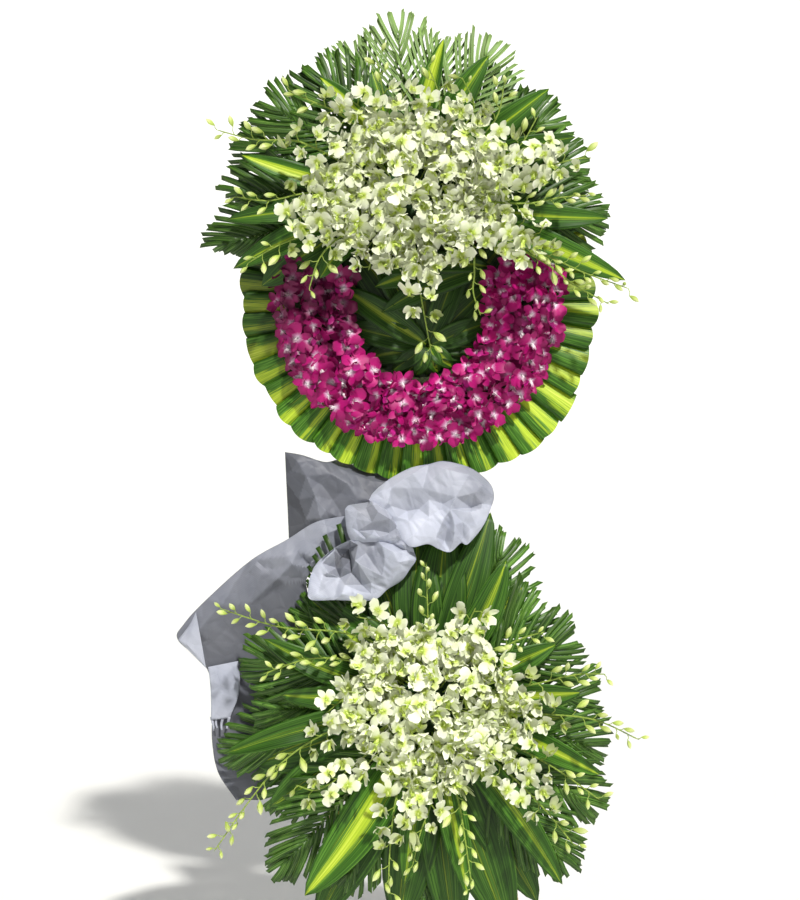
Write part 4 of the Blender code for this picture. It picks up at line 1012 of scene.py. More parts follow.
# %% Palm leaf material
# Cut palm leaf: mid to dark green with a satin skin and fine lines along each leaflet,
# paler along its fold.
palm, tree, shader = new_finish("cut palm leaf", Roughness=0.42, Specular_IOR_Level=0.35)
where = add(tree, "UVMap", uv_map="surface").outputs[0]
tone = add(tree, "Attribute", attribute_name="tone").outputs["Fac"]
kind = add(tree, "Attribute", attribute_name="kind").outputs["Fac"]
across = add(tree, "SeparateXYZ", {0: where}).outputs["X"]
line = add(tree, "Mapping", {"Vector": where, "Scale": (11.0, 0.8, 1.0)}).outputs[0]
line = add(
    tree, "VectorMath", {0: add(tree, "TexCoord").outputs["Object"], 1: (25, 25, 25), 2: line},
    operation="MULTIPLY_ADD",
).outputs[0]
line = add(tree, "TexNoise", {"Vector": line, "Scale": 1.0, "Detail": 3.0}).outputs[0]
leaf = add(
    tree, "ValToRGB", {0: line},
    [(0.3, colour("1A350A")), (0.5, colour("375F17")), (0.75, colour("6C9436"))],
).outputs[0]
fold = add(tree, "ValToRGB", {0: across}, [(0.40, DARK), (0.5, LIGHT), (0.60, DARK)]).outputs[0]
fold = add(tree, "Math", {0: fold, 1: 0.35}, operation="MULTIPLY").outputs[0]
leaf = add(tree, "Mix", {0: fold, MIX_A: leaf, MIX_B: colour("9DBB62")}, **COLOURS).outputs[MIX_OUT]
leaf = add(tree, "Mix", {0: kind, MIX_A: leaf, MIX_B: colour("8FA468")}, **COLOURS).outputs[MIX_OUT]
value = add(tree, "Math", {0: tone, 1: 1.0, 2: 0.5}, operation="MULTIPLY_ADD").outputs[0]
leaf = add(tree, "HueSaturation", {"Value": value, "Color": leaf}).outputs[0]
rough = add(tree, "Bump", {"Height": line, "Strength": 0.3, "Distance": 0.0005}).outputs[0]
tree.links.new(leaf, shader.inputs["Base Color"])
tree.links.new(rough, shader.inputs["Normal"])

# %% Directions, lengths and layers of the fronds
FRONDS_TOP = [
    (194, 0.268, FRONT), (160, 0.222, BACK), (126, 0.190, FRONT), (94, 0.228, BACK),
    (62, 0.215, FRONT), (30, 0.205, BACK), (-6, 0.245, FRONT),
]
FRONDS_LOW = [
    (64, 0.218, BACK), (24, 0.175, FRONT), (-16, 0.220, BACK), (-50, 0.290, FRONT), (-92, 0.280, BACK),
    (-132, 0.310, FRONT), (195, 0.282, BACK), (166, 0.235, FRONT), (128, 0.225, BACK),
]
FROND_REACH, FROND_STALK, LEAFLET_STEP, PALM_T = 0.118, 0.035, 0.0125, 0.0004
HALF, LIGHTNESS = 0.0040, 0.44  # a leaflet's half width, and how light the frond is
# In the top bunch the two that point up are paler and feathery, and two at the left
# are darker.
OTHER_KINDS = {94: (0.0026, 1.0), 62: (0.0026, 1.0), 194: (HALF, 0.12), 160: (HALF, 0.12)}
# Behind each frond a second one fills the gap beside it: its angle and its share of
# the first one's length are these, or else 17 degrees more and 0.88.
OTHER_SECONDS = {194: (178, 0.88), 126: (146, 1.12)}


def frond(bunch, degrees, length, layer, seed, half, light):
    """Leaflets of one frond. The k-th pair starts at its share t of the midrib, is
    reach x sin(pi (0.22 + 0.66 t)) long and leans 64 - 46 t degrees from the midrib.
    Those that hang in front of the rim at the left are cut to 0.55 of that, and those
    that end at the long tail of the bow to 0.80."""
    random = np.random.default_rng(seed)
    angle = math.radians(degrees)
    ahead = np.array([math.cos(angle), math.sin(angle)])
    pairs = int(length / LEAFLET_STEP)
    t = np.linspace(0.0, 1.0, pairs)[:, None] * np.ones((1, 2))
    side = np.array([[1.0, -1.0]]) * np.ones((pairs, 1))
    t, side = (t + side * 0.25 / pairs).ravel(), side.ravel()
    base = (FOAM_R + FROND_STALK + (length - FROND_STALK) * t)[:, None] * ahead + [bunch.u, bunch.v]
    reach = FROND_REACH * np.sin(np.pi * np.clip(0.22 + 0.66 * t, 0, 0.88))
    reach = reach * (1 + random.normal(0, 0.05, len(t)))
    reach = reach * np.where((side > 0) & (degrees in (194, 178)), 0.55, 1.0)
    reach = reach * (0.80 if degrees in (128, 145) else 1.0)
    lean = angle + side * np.radians(64 - 46 * t + random.normal(0, 2.5, len(t)))
    s = np.array([-1.0, 0.0, 1.0])[None, None, :]
    f = np.linspace(0, 1, 6)[None, :, None]
    turn = lean[:, None, None] - side[:, None, None] * 0.10 * f
    way = np.stack([np.cos(turn), np.sin(turn)], -1)
    aside = np.stack([np.sin(turn), -np.cos(turn)], -1)
    half = half * np.array([0.45, 0.95, 1.0, 1.0, 1.0, 0.9])[None, :, None]
    half = half * (1 + random.normal(0, 0.08, (len(t), 1, 1)))
    cut = 1 + 0.03 * s * np.sign(random.normal(0, 1, (len(t), 1, 1)))  # the slanting cut
    flat = base[:, None, None] + (reach[:, None, None] * f * cut)[..., None] * way
    flat = flat + (s * half)[..., None] * aside
    w = bunch.height(layer, flat[..., 0], flat[..., 1]) + 0.0016 * np.abs(s)
    w = w + (random.normal(0, 0.004, (len(t), 1, 1)) - 0.012 * f) * f + 0.004 * (1 - f)
    leaflets = np.concatenate([flat, w[..., None]], -1)
    tone = np.clip(light + random.normal(0, 0.2, len(t)), 0.05, 1.3)
    rib_t = np.linspace(0, 1, 14)[:, None]
    rib = (FOAM_R - 0.004 + (length + 0.004) * rib_t) * ahead + [bunch.u, bunch.v]
    rib = np.concatenate([rib, bunch.height(layer, rib[:, :1], rib[:, 1:]) + 0.002], -1)[None]
    radii = 0.0042 - 0.0030 * rib_t[:, 0]
    radii[[0, -1]] = 0
    return [grid(leaflets, tone, 0.8 * max(light - 0.5, 0.0)), grid(tubes(rib, radii[None], 6), 0.5, 0.8)]


# %% Push the fronds in
for bunch, fronds in ((TOP, FRONDS_TOP), (LOW, FRONDS_LOW)):
    for number, (degrees, length, layer) in enumerate(fronds, 1):
        kind = OTHER_KINDS.get(degrees, (HALF, LIGHTNESS))
        grids = frond(bunch, degrees, length, layer, 40 + number, *kind)
        beside, share = OTHER_SECONDS.get(degrees, (degrees + 17, 0.88))
        behind = (layer[0] - 0.012, *layer[1:])
        grids += frond(bunch, beside, share * length, behind, 60 + number, *kind)
        node = f"frond_{bunch.name}_{number}"
        make_piece(f"palm_{bunch.name}_{number}", grids, [palm], [node], PALM_T)

# %% [markdown]
# ## Striped leaves of the bunches
#
# Twelve long leaves fan out of each bunch, some dark, some with a broad bright stripe.
# They use the same leaf function: a straight line out from the foam, bent a little
# sideways, on the leaves' own bowl, with the tip drooping.

# %% Directions, lengths, widths, stripes and tones
# degrees, length from the foam, width, stripe, tone, sideways bend
LEAVES_TOP = {
    "left": [(166, 0.24, 0.042, 0.45, 0.66, 0.01), (187, 0.26, 0.044, 0.04, 0.26, 0.0),
             (202, 0.27, 0.050, 0.05, 0.30, -0.012), (222, 0.15, 0.046, 0.10, 0.34, -0.014)],
    "up": [(127, 0.20, 0.042, 0.40, 0.70, -0.012), (107, 0.17, 0.046, 0.1, 0.62, 0.0),
           (78, 0.22, 0.038, 0.55, 0.66, 0.008), (61, 0.22, 0.052, 0.12, 0.60, 0.008)],
    "right": [(38, 0.245, 0.050, 0.06, 0.62, 0.0), (20, 0.245, 0.046, 0.0, 0.34, 0.012),
              (-6, 0.285, 0.050, 0.12, 0.42, -0.010), (-21, 0.34, 0.052, 0.30, 0.62, 0.006)],
}
LEAVES_LOW = {
    "left": [(140, 0.15, 0.048, 0.2, 0.5, 0.0), (159, 0.25, 0.048, 0.05, 0.30, 0.01),
             (177, 0.20, 0.048, 0.1, 0.35, 0.0), (194, 0.31, 0.046, 0.0, 0.22, -0.01)],
    "down": [(237, 0.34, 0.080, 0.36, 0.62, 0.012), (262, 0.26, 0.050, 0.1, 0.42, 0.0),
             (281, 0.28, 0.050, 0.15, 0.45, 0.0), (306, 0.33, 0.056, 0.1, 0.42, 0.01)],
    "right": [(-23, 0.26, 0.050, 0.25, 0.6, 0.008), (4, 0.20, 0.050, 0.3, 0.5, 0.0),
              (25, 0.18, 0.050, 0.1, 0.45, 0.0), (62, 0.22, 0.056, 0.12, 0.35, -0.01)],
}


def leaf_lines(bunch, leaves):
    """Middle lines: out from the foam, bend x sin(pi t) aside, the tip drooping by t^4."""
    t = np.linspace(0, 1, 18)[None, :]
    angle = np.radians(leaves[:, :1])
    out = FOAM_R - 0.006 + (leaves[:, 1:2] + 0.006) * t
    aside = leaves[:, 5:6] * np.sin(np.pi * t)
    u = bunch.u + out * np.cos(angle) - aside * np.sin(angle)
    v = bunch.v + out * np.sin(angle) + aside * np.cos(angle)
    return np.stack([u, v, bunch.height(LEAF, u, v) - 0.012 * t**4], -1)


# %% Push the striped leaves in
for bunch, groups in ((TOP, LEAVES_TOP), (LOW, LEAVES_LOW)):
    for number, (name, leaves) in enumerate(groups.items()):
        leaves = np.array(leaves)
        lines = leaf_lines(bunch, leaves)
        twist = np.random.default_rng(60 + number).normal(0, 0.25, len(leaves))
        points = long_leaves(lines, leaves[:, 2], 0.2, 0.0022, twist, 70 + number)
        blades = grid(points, leaves[:, 4], leaves[:, 3])
        node = f"leaves_{bunch.name}_{name}"
        make_piece("long_" + node, [blades], [striped], [node], LEAF_T)

# %% Push darker leaves in behind them
# degrees, length from the foam, width, stripe, tone, sideways bend
BEHIND_TOP = [
    (148, 0.20, 0.07, 0.0, 0.2, 0.01), (176, 0.24, 0.07, 0.0, 0.16, 0.0),
    (210, 0.24, 0.075, 0.0, 0.16, -0.01), (8, 0.24, 0.06, 0.0, 0.16, 0.01), (30, 0.20, 0.06, 0.0, 0.2, 0.0),
    (-22, 0.20, 0.05, 0.3, 0.4, 0.0), (92, 0.16, 0.06, 0.1, 0.4, 0.0),
]
BEHIND_LOW = [
    (50, 0.21, 0.07, 0.1, 0.3, 0.01), (76, 0.225, 0.085, 0.0, 0.16, 0.0),
    (94, 0.24, 0.085, 0.0, 0.14, 0.01), (72, 0.285, 0.070, 0.0, 0.16, 0.0),
    (85, 0.250, 0.095, 0.0, 0.12, 0.0), (60, 0.22, 0.07, 0.0, 0.18, 0.0), (243, 0.38, 0.090, 0.0, 0.2, 0.0),
    (298, 0.345, 0.080, 0.0, 0.2, 0.0), (289, 0.37, 0.110, 0.0, 0.14, 0.0),
    (262, 0.34, 0.100, 0.0, 0.14, 0.0), (276, 0.36, 0.090, 0.0, 0.2, 0.0),
    (112, 0.20, 0.085, 0.0, 0.16, 0.0), (130, 0.18, 0.08, 0.0, 0.16, 0.0), (150, 0.18, 0.07, 0.0, 0.2, 0.0),
    (-8, 0.22, 0.06, 0.1, 0.3, 0.0), (222, 0.24, 0.07, 0.1, 0.3, 0.0), (270, 0.24, 0.07, 0.0, 0.3, 0.0),
    (294, 0.26, 0.075, 0.1, 0.35, 0.0), (140, 0.22, 0.09, 0.0, 0.25, 0.0),
    (162, 0.23, 0.10, 0.0, 0.35, 0.0), (180, 0.25, 0.10, 0.0, 0.35, 0.0), (200, 0.27, 0.10, 0.0, 0.35, 0.0),
    (214, 0.28, 0.09, 0.0, 0.30, 0.0), (-38, 0.24, 0.07, 0.1, 0.3, 0.0), (250, 0.25, 0.07, 0.0, 0.3, 0.0),
]
for bunch, leaves in ((TOP, np.array(BEHIND_TOP)), (LOW, np.array(BEHIND_LOW))):
    lines = leaf_lines(bunch, leaves)
    lines[..., 2] -= 0.013 + 0.04 * np.linspace(0, 1, lines.shape[1])
    points = long_leaves(lines, leaves[:, 2], 0.12, 0.0022, 0.0, 80)
    blades = grid(points, leaves[:, 4], leaves[:, 3])
    make_piece(f"long_leaves_{bunch.name}_behind", [blades], [striped], (), LEAF_T)

# %% [markdown]
# ## Sprays of white orchids
#
# A spray is a thin arching stem with open flowers near its root, half-open ones further
# on and yellow-green buds at its tip, each on its own little stalk. Each spray is drawn
# as a smooth line from the foam through a few places seen in the picture, lying on the
# sprays' bowl. The flowers step along it, left and right in turn.

# %% Stem and bud material
green_stem, tree, shader = new_finish("orchid stem and bud", Roughness=0.45)
where = add(tree, "UVMap", uv_map="surface").outputs[0]
tone = add(tree, "Attribute", attribute_name="tone").outputs["Fac"]
kind = add(tree, "Attribute", attribute_name="kind").outputs["Fac"]
along = add(tree, "SeparateXYZ", {0: where}).outputs["Y"]
budding = add(
    tree, "ValToRGB", {0: along},
    [(0.0, colour("87A03A")), (0.45, colour("B4C662")), (1.0, colour("DCE3A4"))],
).outputs[0]
mottle = add(
    tree, "TexNoise", {"Vector": add(tree, "TexCoord").outputs["Object"], "Scale": 220.0}
).outputs[0]
stalk = add(tree, "ValToRGB", {0: mottle}, [(0.3, colour("6F8A2E")), (0.7, colour("9DB24A"))]).outputs[0]
base = add(tree, "Mix", {0: kind, MIX_A: stalk, MIX_B: budding}, **COLOURS).outputs[MIX_OUT]
value = add(tree, "Math", {0: tone, 1: 0.6, 2: 0.7}, operation="MULTIPLY_ADD").outputs[0]
base = add(tree, "HueSaturation", {"Value": value, "Color": base}).outputs[0]
rough = add(tree, "Bump", {"Height": mottle, "Strength": 0.2, "Distance": 0.0005}).outputs[0]
tree.links.new(base, shader.inputs["Base Color"])
tree.links.new(rough, shader.inputs["Normal"])


# %% A spray along its line
FLOWER_PITCH, BUD_PITCH = 0.0150, 0.0130  # steps along the stem
SEEN_HIGH = 0.14  # how high over the bunch's foot the places are read off the picture


def thin_stalks(root, bend, tip, radii):
    """Stalks from root to tip through bend, four-sided tubes with these three radii."""
    return tubes(np.stack([root, bend, tip], 1), np.array([radii]), 4)


def spray(bunch, places, lift, droop, open_from, open_to, bud_to, seed):
    """Grids of one spray. Its height is the bowl's + lift x sin(pi 1.1 t) - droop x t^2.
    Flowers step along it from open_from to open_to of its length, turning half open
    over the last ones; buds follow to bud_to."""
    random = np.random.default_rng(seed)
    flat = seen_at(*np.array(places, float).T, bunch.w + SEEN_HIGH)[:, :2]
    away = unit(flat[0] - [bunch.u, bunch.v])
    if np.linalg.norm(flat[0] - [bunch.u, bunch.v]) > FOAM_R * 0.9:
        flat = np.vstack([[bunch.u, bunch.v] + away * FOAM_R * 0.8, flat])
    line = through(flat, 40)
    t = np.linspace(0, 1, 40)
    w = bunch.height(SPRAY, line[:, 0], line[:, 1])
    w = w + lift * np.sin(np.pi * np.clip(t * 1.1, 0, 1)) - droop * t**2
    line = np.concatenate([line, w[:, None]], -1)
    steps = np.concatenate([[0], np.cumsum(np.linalg.norm(np.diff(line, axis=0), axis=1))])
    total = steps[-1]

    def at(share):
        return np.stack([np.interp(share * total, steps, line[:, k]) for k in range(3)], -1)

    def ahead(share):
        return unit(at(np.minimum(share + 0.02, 1)) - at(np.maximum(share - 0.02, 0)))

    radii = 0.0021 - 0.0011 * t
    radii[[0, -1]] = 0.0
    grids = [grid(tubes(line[None], radii[None], 6), 0.5, 0.0, 1)]
    front = np.array([0.0, 0.0, 1.0])
    count = max(0, int((open_to - open_from) * total / FLOWER_PITCH))
    if count:
        share = open_from + (open_to - open_from) * (np.arange(count) + 0.5) / count
        going = ahead(share)
        hand = np.where(np.arange(count) % 2, 1.0, -1.0)[:, None]
        side = np.cross(going, front) * hand
        young = np.clip((share - open_to + 0.22) / 0.22, 0, 1) if bud_to > open_to else 0 * share
        root = at(share)
        out = (0.017 + 0.005 * random.random((count, 1))) * (1 - 0.3 * young[:, None])
        centre = root + out * side + (0.013 + 0.010 * random.random((count, 1))) * front + 0.004 * going
        facing = front + 0.45 * side + 0.2 * going + random.normal(0, 0.6, (count, 3)) * [1, 1, 0.2]
        roll = random.normal(0, 0.8, count)
        up = np.stack([np.sin(roll), np.cos(roll), 0.1 + 0 * roll], -1)
        size = 0.0226 * (1 - 0.28 * young) * (1 + random.normal(0, 0.06, count))
        cup = np.clip(random.normal(0.22, 0.36, count), -0.3, 1.0) + 0.7 * young
        tone = np.clip(0.74 + random.normal(0, 0.18, count) - 0.62 * young, 0.1, 1)
        grids += flower_grids(centre, facing, up, size, cup, tone, seed + 1)
        bend = (root + centre) / 2 + 0.004 * going
        grids.append(grid(thin_stalks(root, bend, centre, (0.0011, 0.0009, 0.0009)), 0.6, 0.25, 1))
    first = open_to + 0.02
    count = max(0, int((bud_to - first) * total / BUD_PITCH))
    if count:
        number = np.arange(count) + 0.5 + random.uniform(-0.35, 0.35, count)
        share = first + (bud_to - first) * number / count
        going = ahead(share)
        hand = np.where(np.arange(count) % 2, 1.0, -1.0)[:, None]
        side = np.cross(going, front) * hand * random.uniform(0.3, 1.15, (count, 1))
        size = 0.0250 - 0.0085 * (share - first) / max(bud_to - first, 0.01)
        size = size * (1 + random.normal(0, 0.12, count))
        root = at(share)
        stalk = root + (0.011 * side + 0.006 * front + 0.005 * going) * (size / 0.0200)[:, None]
        bend = (root + stalk) / 2 + 0.002 * going
        grids.append(grid(thin_stalks(root, bend, stalk, (0.0008, 0.0007, 0.0007)), 0.6, 0.25, 1))
        aim = unit(going * 0.8 + side * 0.5 + front * 0.2 + random.normal(0, 0.32, (count, 3)))
        f = np.linspace(-0.04, 1, 6)[None, :, None]
        big = size[:, None, None]
        path = stalk[:, None] + f * big * aim[:, None] + 0.18 * (f * f - f) * big * side[:, None]
        shape = np.array([0.0, 0.55, 0.9, 1.0, 0.72, 0.0]) * 0.215
        buds = tubes(path, size[:, None] * shape[None], 6)
        grids.append(grid(buds, np.clip(random.normal(0.55, 0.15, count), 0, 1), 1.0, 1))
    return grids


# %% Where each spray goes
# nodes it stands for, places, lift, droop, flowers from, flowers to, buds to
SPRAYS_TOP = [
    (1, [(350, 165), (300, 142), (256, 140), (216, 130)], 0.01, 0.0, 0.15, 0.62, 1.0),
    (1, [(355, 185), (305, 192), (268, 200), (234, 196)], 0.0, 0.01, 0.15, 0.62, 1.0),
    (2, [(360, 212), (310, 232), (275, 246), (246, 263)], 0.0, 0.02, 0.15, 0.70, 1.0),
    (2, [(368, 198), (328, 206), (288, 222)], 0.01, 0.0, 0.1, 1.0, 1.0),
    (2, [(345, 232), (320, 256), (308, 288)], 0.01, 0.03, 0.1, 0.62, 1.0),
    (3, [(375, 140), (338, 112), (310, 100), (288, 90)], 0.0, 0.0, 0.1, 0.74, 1.0),
    (3, [(395, 135), (385, 100), (376, 54)], 0.0, 0.0, 0.1, 0.70, 1.0),
    (3, [(385, 135), (362, 108), (346, 96)], 0.0, 0.0, 0.1, 1.0, 1.0),
    (4, [(430, 135), (440, 100), (428, 64)], 0.0, 0.0, 0.1, 0.78, 1.0),
    (4, [(450, 140), (474, 108), (462, 76)], 0.0, 0.0, 0.1, 0.78, 1.0),
    (4, [(418, 135), (408, 108), (402, 90)], 0.0, 0.0, 0.1, 1.0, 1.0),
    (4, [(465, 150), (496, 118), (505, 80)], 0.0, 0.0, 0.1, 0.72, 1.0),
    (5, [(470, 165), (515, 150), (538, 116)], 0.01, 0.0, 0.1, 0.75, 1.0),
    (5, [(480, 185), (530, 172), (572, 160), (592, 158)], 0.01, 0.0, 0.1, 0.90, 1.0),
    (5, [(478, 178), (520, 166), (556, 152)], 0.01, 0.0, 0.1, 1.0, 1.0),
    (5, [(470, 222), (500, 236), (528, 248)], 0.01, 0.0, 0.1, 1.0, 1.0),
    (5, [(480, 200), (525, 204), (560, 198), (590, 195)], 0.02, 0.0, 0.1, 0.35, 1.0),
    (5, [(485, 215), (530, 232), (550, 258)], 0.01, 0.01, 0.1, 0.95, 1.0),
    (5, [(490, 235), (540, 252), (585, 272), (632, 288)], 0.0, 0.03, 0.1, 0.25, 1.0),
    (5, [(500, 238), (545, 262), (575, 284), (612, 304)], 0.0, 0.03, 0.1, 0.2, 1.0),
    (6, [(415, 245), (418, 275), (424, 310), (432, 352)], 0.0, 0.06, 0.1, 0.74, 1.0),
    (6, [(470, 235), (475, 268), (474, 290), (482, 314)], 0.0, 0.055, 0.1, 0.40, 1.0),
    (6, [(440, 235), (450, 250), (455, 262)], 0.0, 0.03, 0.1, 1.0, 1.0),
    (6, [(375, 235), (372, 255), (368, 268)], 0.0, 0.03, 0.1, 1.0, 1.0),
]
SPRAYS_LOW = [
    (1, [(375, 645), (335, 632), (280, 627), (219, 608)], 0.0, 0.0, 0.1, 0.42, 1.0),
    (1, [(372, 670), (340, 660), (305, 660), (263, 674)], 0.0, 0.0, 0.1, 0.32, 1.0),
    (1, [(375, 690), (345, 700), (325, 715)], 0.0, 0.0, 0.1, 1.0, 1.0),
    (2, [(375, 720), (330, 732), (285, 760), (250, 800), (213, 853)], 0.0, 0.0, 0.15, 0.42, 1.0),
    (2, [(385, 740), (350, 770), (318, 790), (295, 785)], 0.0, 0.0, 0.45, 0.9, 1.0),
    (3, [(410, 760), (396, 800), (390, 850), (388, 895)], 0.0, 0.0, 0.1, 0.72, 1.0),
    (3, [(428, 765), (432, 800), (420, 835), (412, 868)], 0.0, 0.0, 0.1, 0.76, 1.0),
    (3, [(445, 765), (458, 800), (466, 845), (472, 888)], 0.0, 0.0, 0.1, 0.40, 1.0),
    (4, [(480, 750), (515, 780), (545, 810), (575, 846)], 0.0, 0.0, 0.1, 0.76, 1.0),
    (4, [(485, 735), (530, 755), (565, 775), (600, 800)], 0.0, 0.0, 0.1, 0.66, 1.0),
    (5, [(490, 715), (545, 715), (595, 720), (640, 740)], 0.0, 0.0, 0.1, 0.58, 1.0),
    (5, [(488, 695), (535, 685), (575, 675), (606, 674)], 0.0, 0.0, 0.1, 0.58, 1.0),
    (6, [(470, 665), (500, 650), (525, 638), (546, 632)], 0.0, 0.0, 0.1, 0.42, 1.0),
    (6, [(455, 650), (468, 625), (476, 608)], 0.0, 0.0, 0.1, 1.0, 1.0),
    (7, [(430, 650), (428, 615), (426, 562)], 0.0, 0.0, 0.1, 0.35, 1.0),
    (7, [(405, 650), (385, 625), (355, 617)], 0.0, 0.0, 0.1, 1.0, 1.0),
]
for bunch, sprays in ((TOP, SPRAYS_TOP), (LOW, SPRAYS_LOW)):
    for node in sorted({row[0] for row in sprays}):
        grids = []
        for order, (owner, *how) in enumerate(sprays):
            if owner == node:
                grids += spray(bunch, *how, 100 + 7 * order)
        name = f"spray_{bunch.name}_{node}"
        make_piece("white_" + name, grids, [white, green_stem], [name])

# %% [markdown]
# ## The heads of the bunches
#
# Over the foam the flowers stand shoulder to shoulder on a dome. Places on a dome that
# never line up come from the golden angle: each flower turns 137.5 degrees from the
# last and stands a little further out. The outermost ones sit on the sprays' bowl.

# %% Fill the heads
HEAD_FLOWERS, HEAD_R, DOME_R, DOME_H = 150, 0.142, 0.135, 0.050
for bunch, squash_v in ((TOP, 0.92), (LOW, 1.0)):
    random = np.random.default_rng(200)
    count = HEAD_FLOWERS
    k = np.arange(count)
    far = np.sqrt((k + 0.5) / count) * HEAD_R
    turn = k * math.pi * (3 - math.sqrt(5))
    u = bunch.u + far * np.cos(turn) * 1.06 + random.normal(0, 0.004, count)
    v = bunch.v + far * np.sin(turn) * squash_v + random.normal(0, 0.004, count)
    dome = np.sqrt(np.clip(1 - (far / DOME_R) ** 2, 0, 1))
    w = np.maximum(bunch.w + FOAM_T + 0.012 + DOME_H * (dome - 0.45), bunch.height(SPRAY, u, v) + 0.016)
    centres = np.stack([u, v, w - 0.014 + 0.030 * random.random(count)], -1)
    facing = np.stack([np.cos(turn) * far * 5.5, np.sin(turn) * far * 5.5, np.ones(count)], -1)
    facing += random.normal(0, 0.75, facing.shape) * [1, 1, 0]
    roll = random.normal(0, 1.1, count)
    up = np.stack([np.sin(roll), np.cos(roll), 0.1 + 0 * roll], -1)
    size = 0.0222 + 0.0022 * random.normal(0, 1, count)
    cup = np.clip(random.normal(0.28, 0.42, count), -0.4, 1.2)
    tone = np.clip(random.normal(0.58 if bunch is TOP else 0.78, 0.26, count), 0.05, 1.1)
    grids = flower_grids(centres, facing, up, size, cup, tone, 210)
    in_foam = 0 * u + bunch.w + FOAM_T * 0.85
    root = np.stack([bunch.u + (u - bunch.u) * 0.45, bunch.v + (v - bunch.v) * 0.45, in_foam], -1)
    bend = (root + centres) / 2 + [0, 0, 0.006]
    grids.append(grid(thin_stalks(root, bend, centres, (0.0016, 0.0013, 0.0010)), 0.5, 0.2, 1))
    name = f"head_{bunch.name}"
    make_piece("white_" + name, grids, [white, green_stem], [name])

# %% [markdown]
# ## The bow's cloth
#
# The bow is white organza, a thin stiff weave that crumples into sharp creases and
# stays flat between them. Its surfaces are worked out, not simulated: the ends of the
# creases are joined into a net of flat triangles, like folded paper, and smaller random
# facets lie on top. Where the cloth is doubled it is white, and a single sheer layer
# looks grey, so each place in the net also gives a number for how many layers lie
# there. That number is painted light and shade as well: it is set low where the cloth
# lies in shade, as in the openings of the loops and on the tails, and high where it is
# lit. The finish adds the weave, drawn at 1.2 mm so that it shows, and small crumples as
# bump.

# %% Organza material
organza, tree, shader = new_finish(
    "crumpled white organza", Roughness=0.5, Sheen_Weight=0.35, Sheen_Roughness=0.35,
    Specular_IOR_Level=0.35,
)
where = add(tree, "UVMap", uv_map="surface").outputs[0]
place = add(tree, "TexCoord").outputs["Object"]
warp = add(
    tree, "TexWave", {"Vector": where, "Scale": 130.0, "Distortion": 0.6}, bands_direction="X"
).outputs["Fac"]
weft = add(
    tree, "TexWave", {"Vector": where, "Scale": 130.0, "Distortion": 0.6}, bands_direction="Y"
).outputs["Fac"]
weave = add(tree, "Math", {0: warp, 1: weft}, operation="MULTIPLY").outputs[0]
crumple = add(
    tree, "TexVoronoi", {"Vector": place, "Scale": 34.0}, feature="DISTANCE_TO_EDGE"
).outputs["Distance"]
crumple = add(tree, "ValToRGB", {0: crumple}, [(0.0, DARK), (0.25, LIGHT)]).outputs[0]
cloud = add(tree, "TexNoise", {"Vector": place, "Scale": 16.0, "Detail": 3.0}).outputs[0]
cloth = add(tree, "ValToRGB", {0: cloud}, [(0.35, colour("BFC3D1")), (0.65, colour("D3D6E2"))]).outputs[0]
thread = add(tree, "ValToRGB", {0: weave}, [(0.0, colour("DADDE8")), (1.0, LIGHT)]).outputs[0]
cloth = add(tree, "Mix", {0: 0.5, MIX_A: cloth, MIX_B: thread}, **MULTIPLIED).outputs[MIX_OUT]
# A single layer is sheer and looks greyer than doubled cloth. The same number also
# paints shade where it is set low, as in the loops' openings, and light where it is set high.
layers_and_painted_shade = add(tree, "Attribute", attribute_name="tone").outputs["Fac"]
layers_and_painted_shade = add(tree, "Math", {0: layers_and_painted_shade, 1: 0.92, 2: 0.07}, operation="MULTIPLY_ADD").outputs[0]
cloth = add(tree, "HueSaturation", {"Value": layers_and_painted_shade, "Color": cloth}).outputs[0]
fine = add(tree, "Bump", {"Height": weave, "Strength": 0.15, "Distance": 0.0003}).outputs[0]
rough = add(
    tree, "Bump", {"Height": crumple, "Strength": 0.4, "Distance": 0.0018, "Normal": fine}
).outputs[0]
tree.links.new(cloth, shader.inputs["Base Color"])
tree.links.new(rough, shader.inputs["Normal"])


# %% Flat planes between creases
def net(places):
    """Stiff cloth stays flat between its creases. Triangles join the places (x, y,
    height, layers of cloth, a number that also paints light and shade): inside one, the
    height is a weighted mean of its corners' and that number is their plain mean, so
    each plane has one shade."""
    places = np.array(places, float)
    made = delaunay_2d_cdt([Vector(place) for place in places[:, :2]], [], [], 0, 0.00001)
    first = np.array([ids[0] for ids in made[3]])
    a, b, c = places[first][np.array(made[2])].transpose(1, 0, 2)

    def area(p, q, r):
        one, two = q[..., :2] - p[..., :2], r[..., :2] - p[..., :2]
        return one[..., 0] * two[..., 1] - one[..., 1] * two[..., 0]

    def surface(x, y):
        p = np.stack([x.ravel(), y.ravel()], -1)[:, None]
        share = np.stack([area(p, b, c), area(a, p, c), area(a, b, p)], -1) / area(a, b, c)[..., None]
        best = share.min(-1).argmax(1)
        share = share[np.arange(len(best)), best]
        height = (share * np.stack([a, b, c], 1)[best, :, 2]).sum(-1)
        layers_and_painted_shade = np.stack([a, b, c], 1)[best, :, 3].mean(-1)
        return height.reshape(x.shape), layers_and_painted_shade.reshape(x.shape)

    return surface


def facets(x, y, seed):
    """Random heights at whole numbers joined by flat triangles, two to a square."""
    table = np.random.default_rng(seed).random((64, 64))
    i, j = np.floor(x).astype(int), np.floor(y).astype(int)
    f, g = x - i, y - j
    a, b = table[i % 64, j % 64], table[(i + 1) % 64, j % 64]
    c, d = table[i % 64, (j + 1) % 64], table[(i + 1) % 64, (j + 1) % 64]
    return np.where(f + g < 1, a + f * (b - a) + g * (c - a), d + (1 - f) * (c - d) + (1 - g) * (b - d))


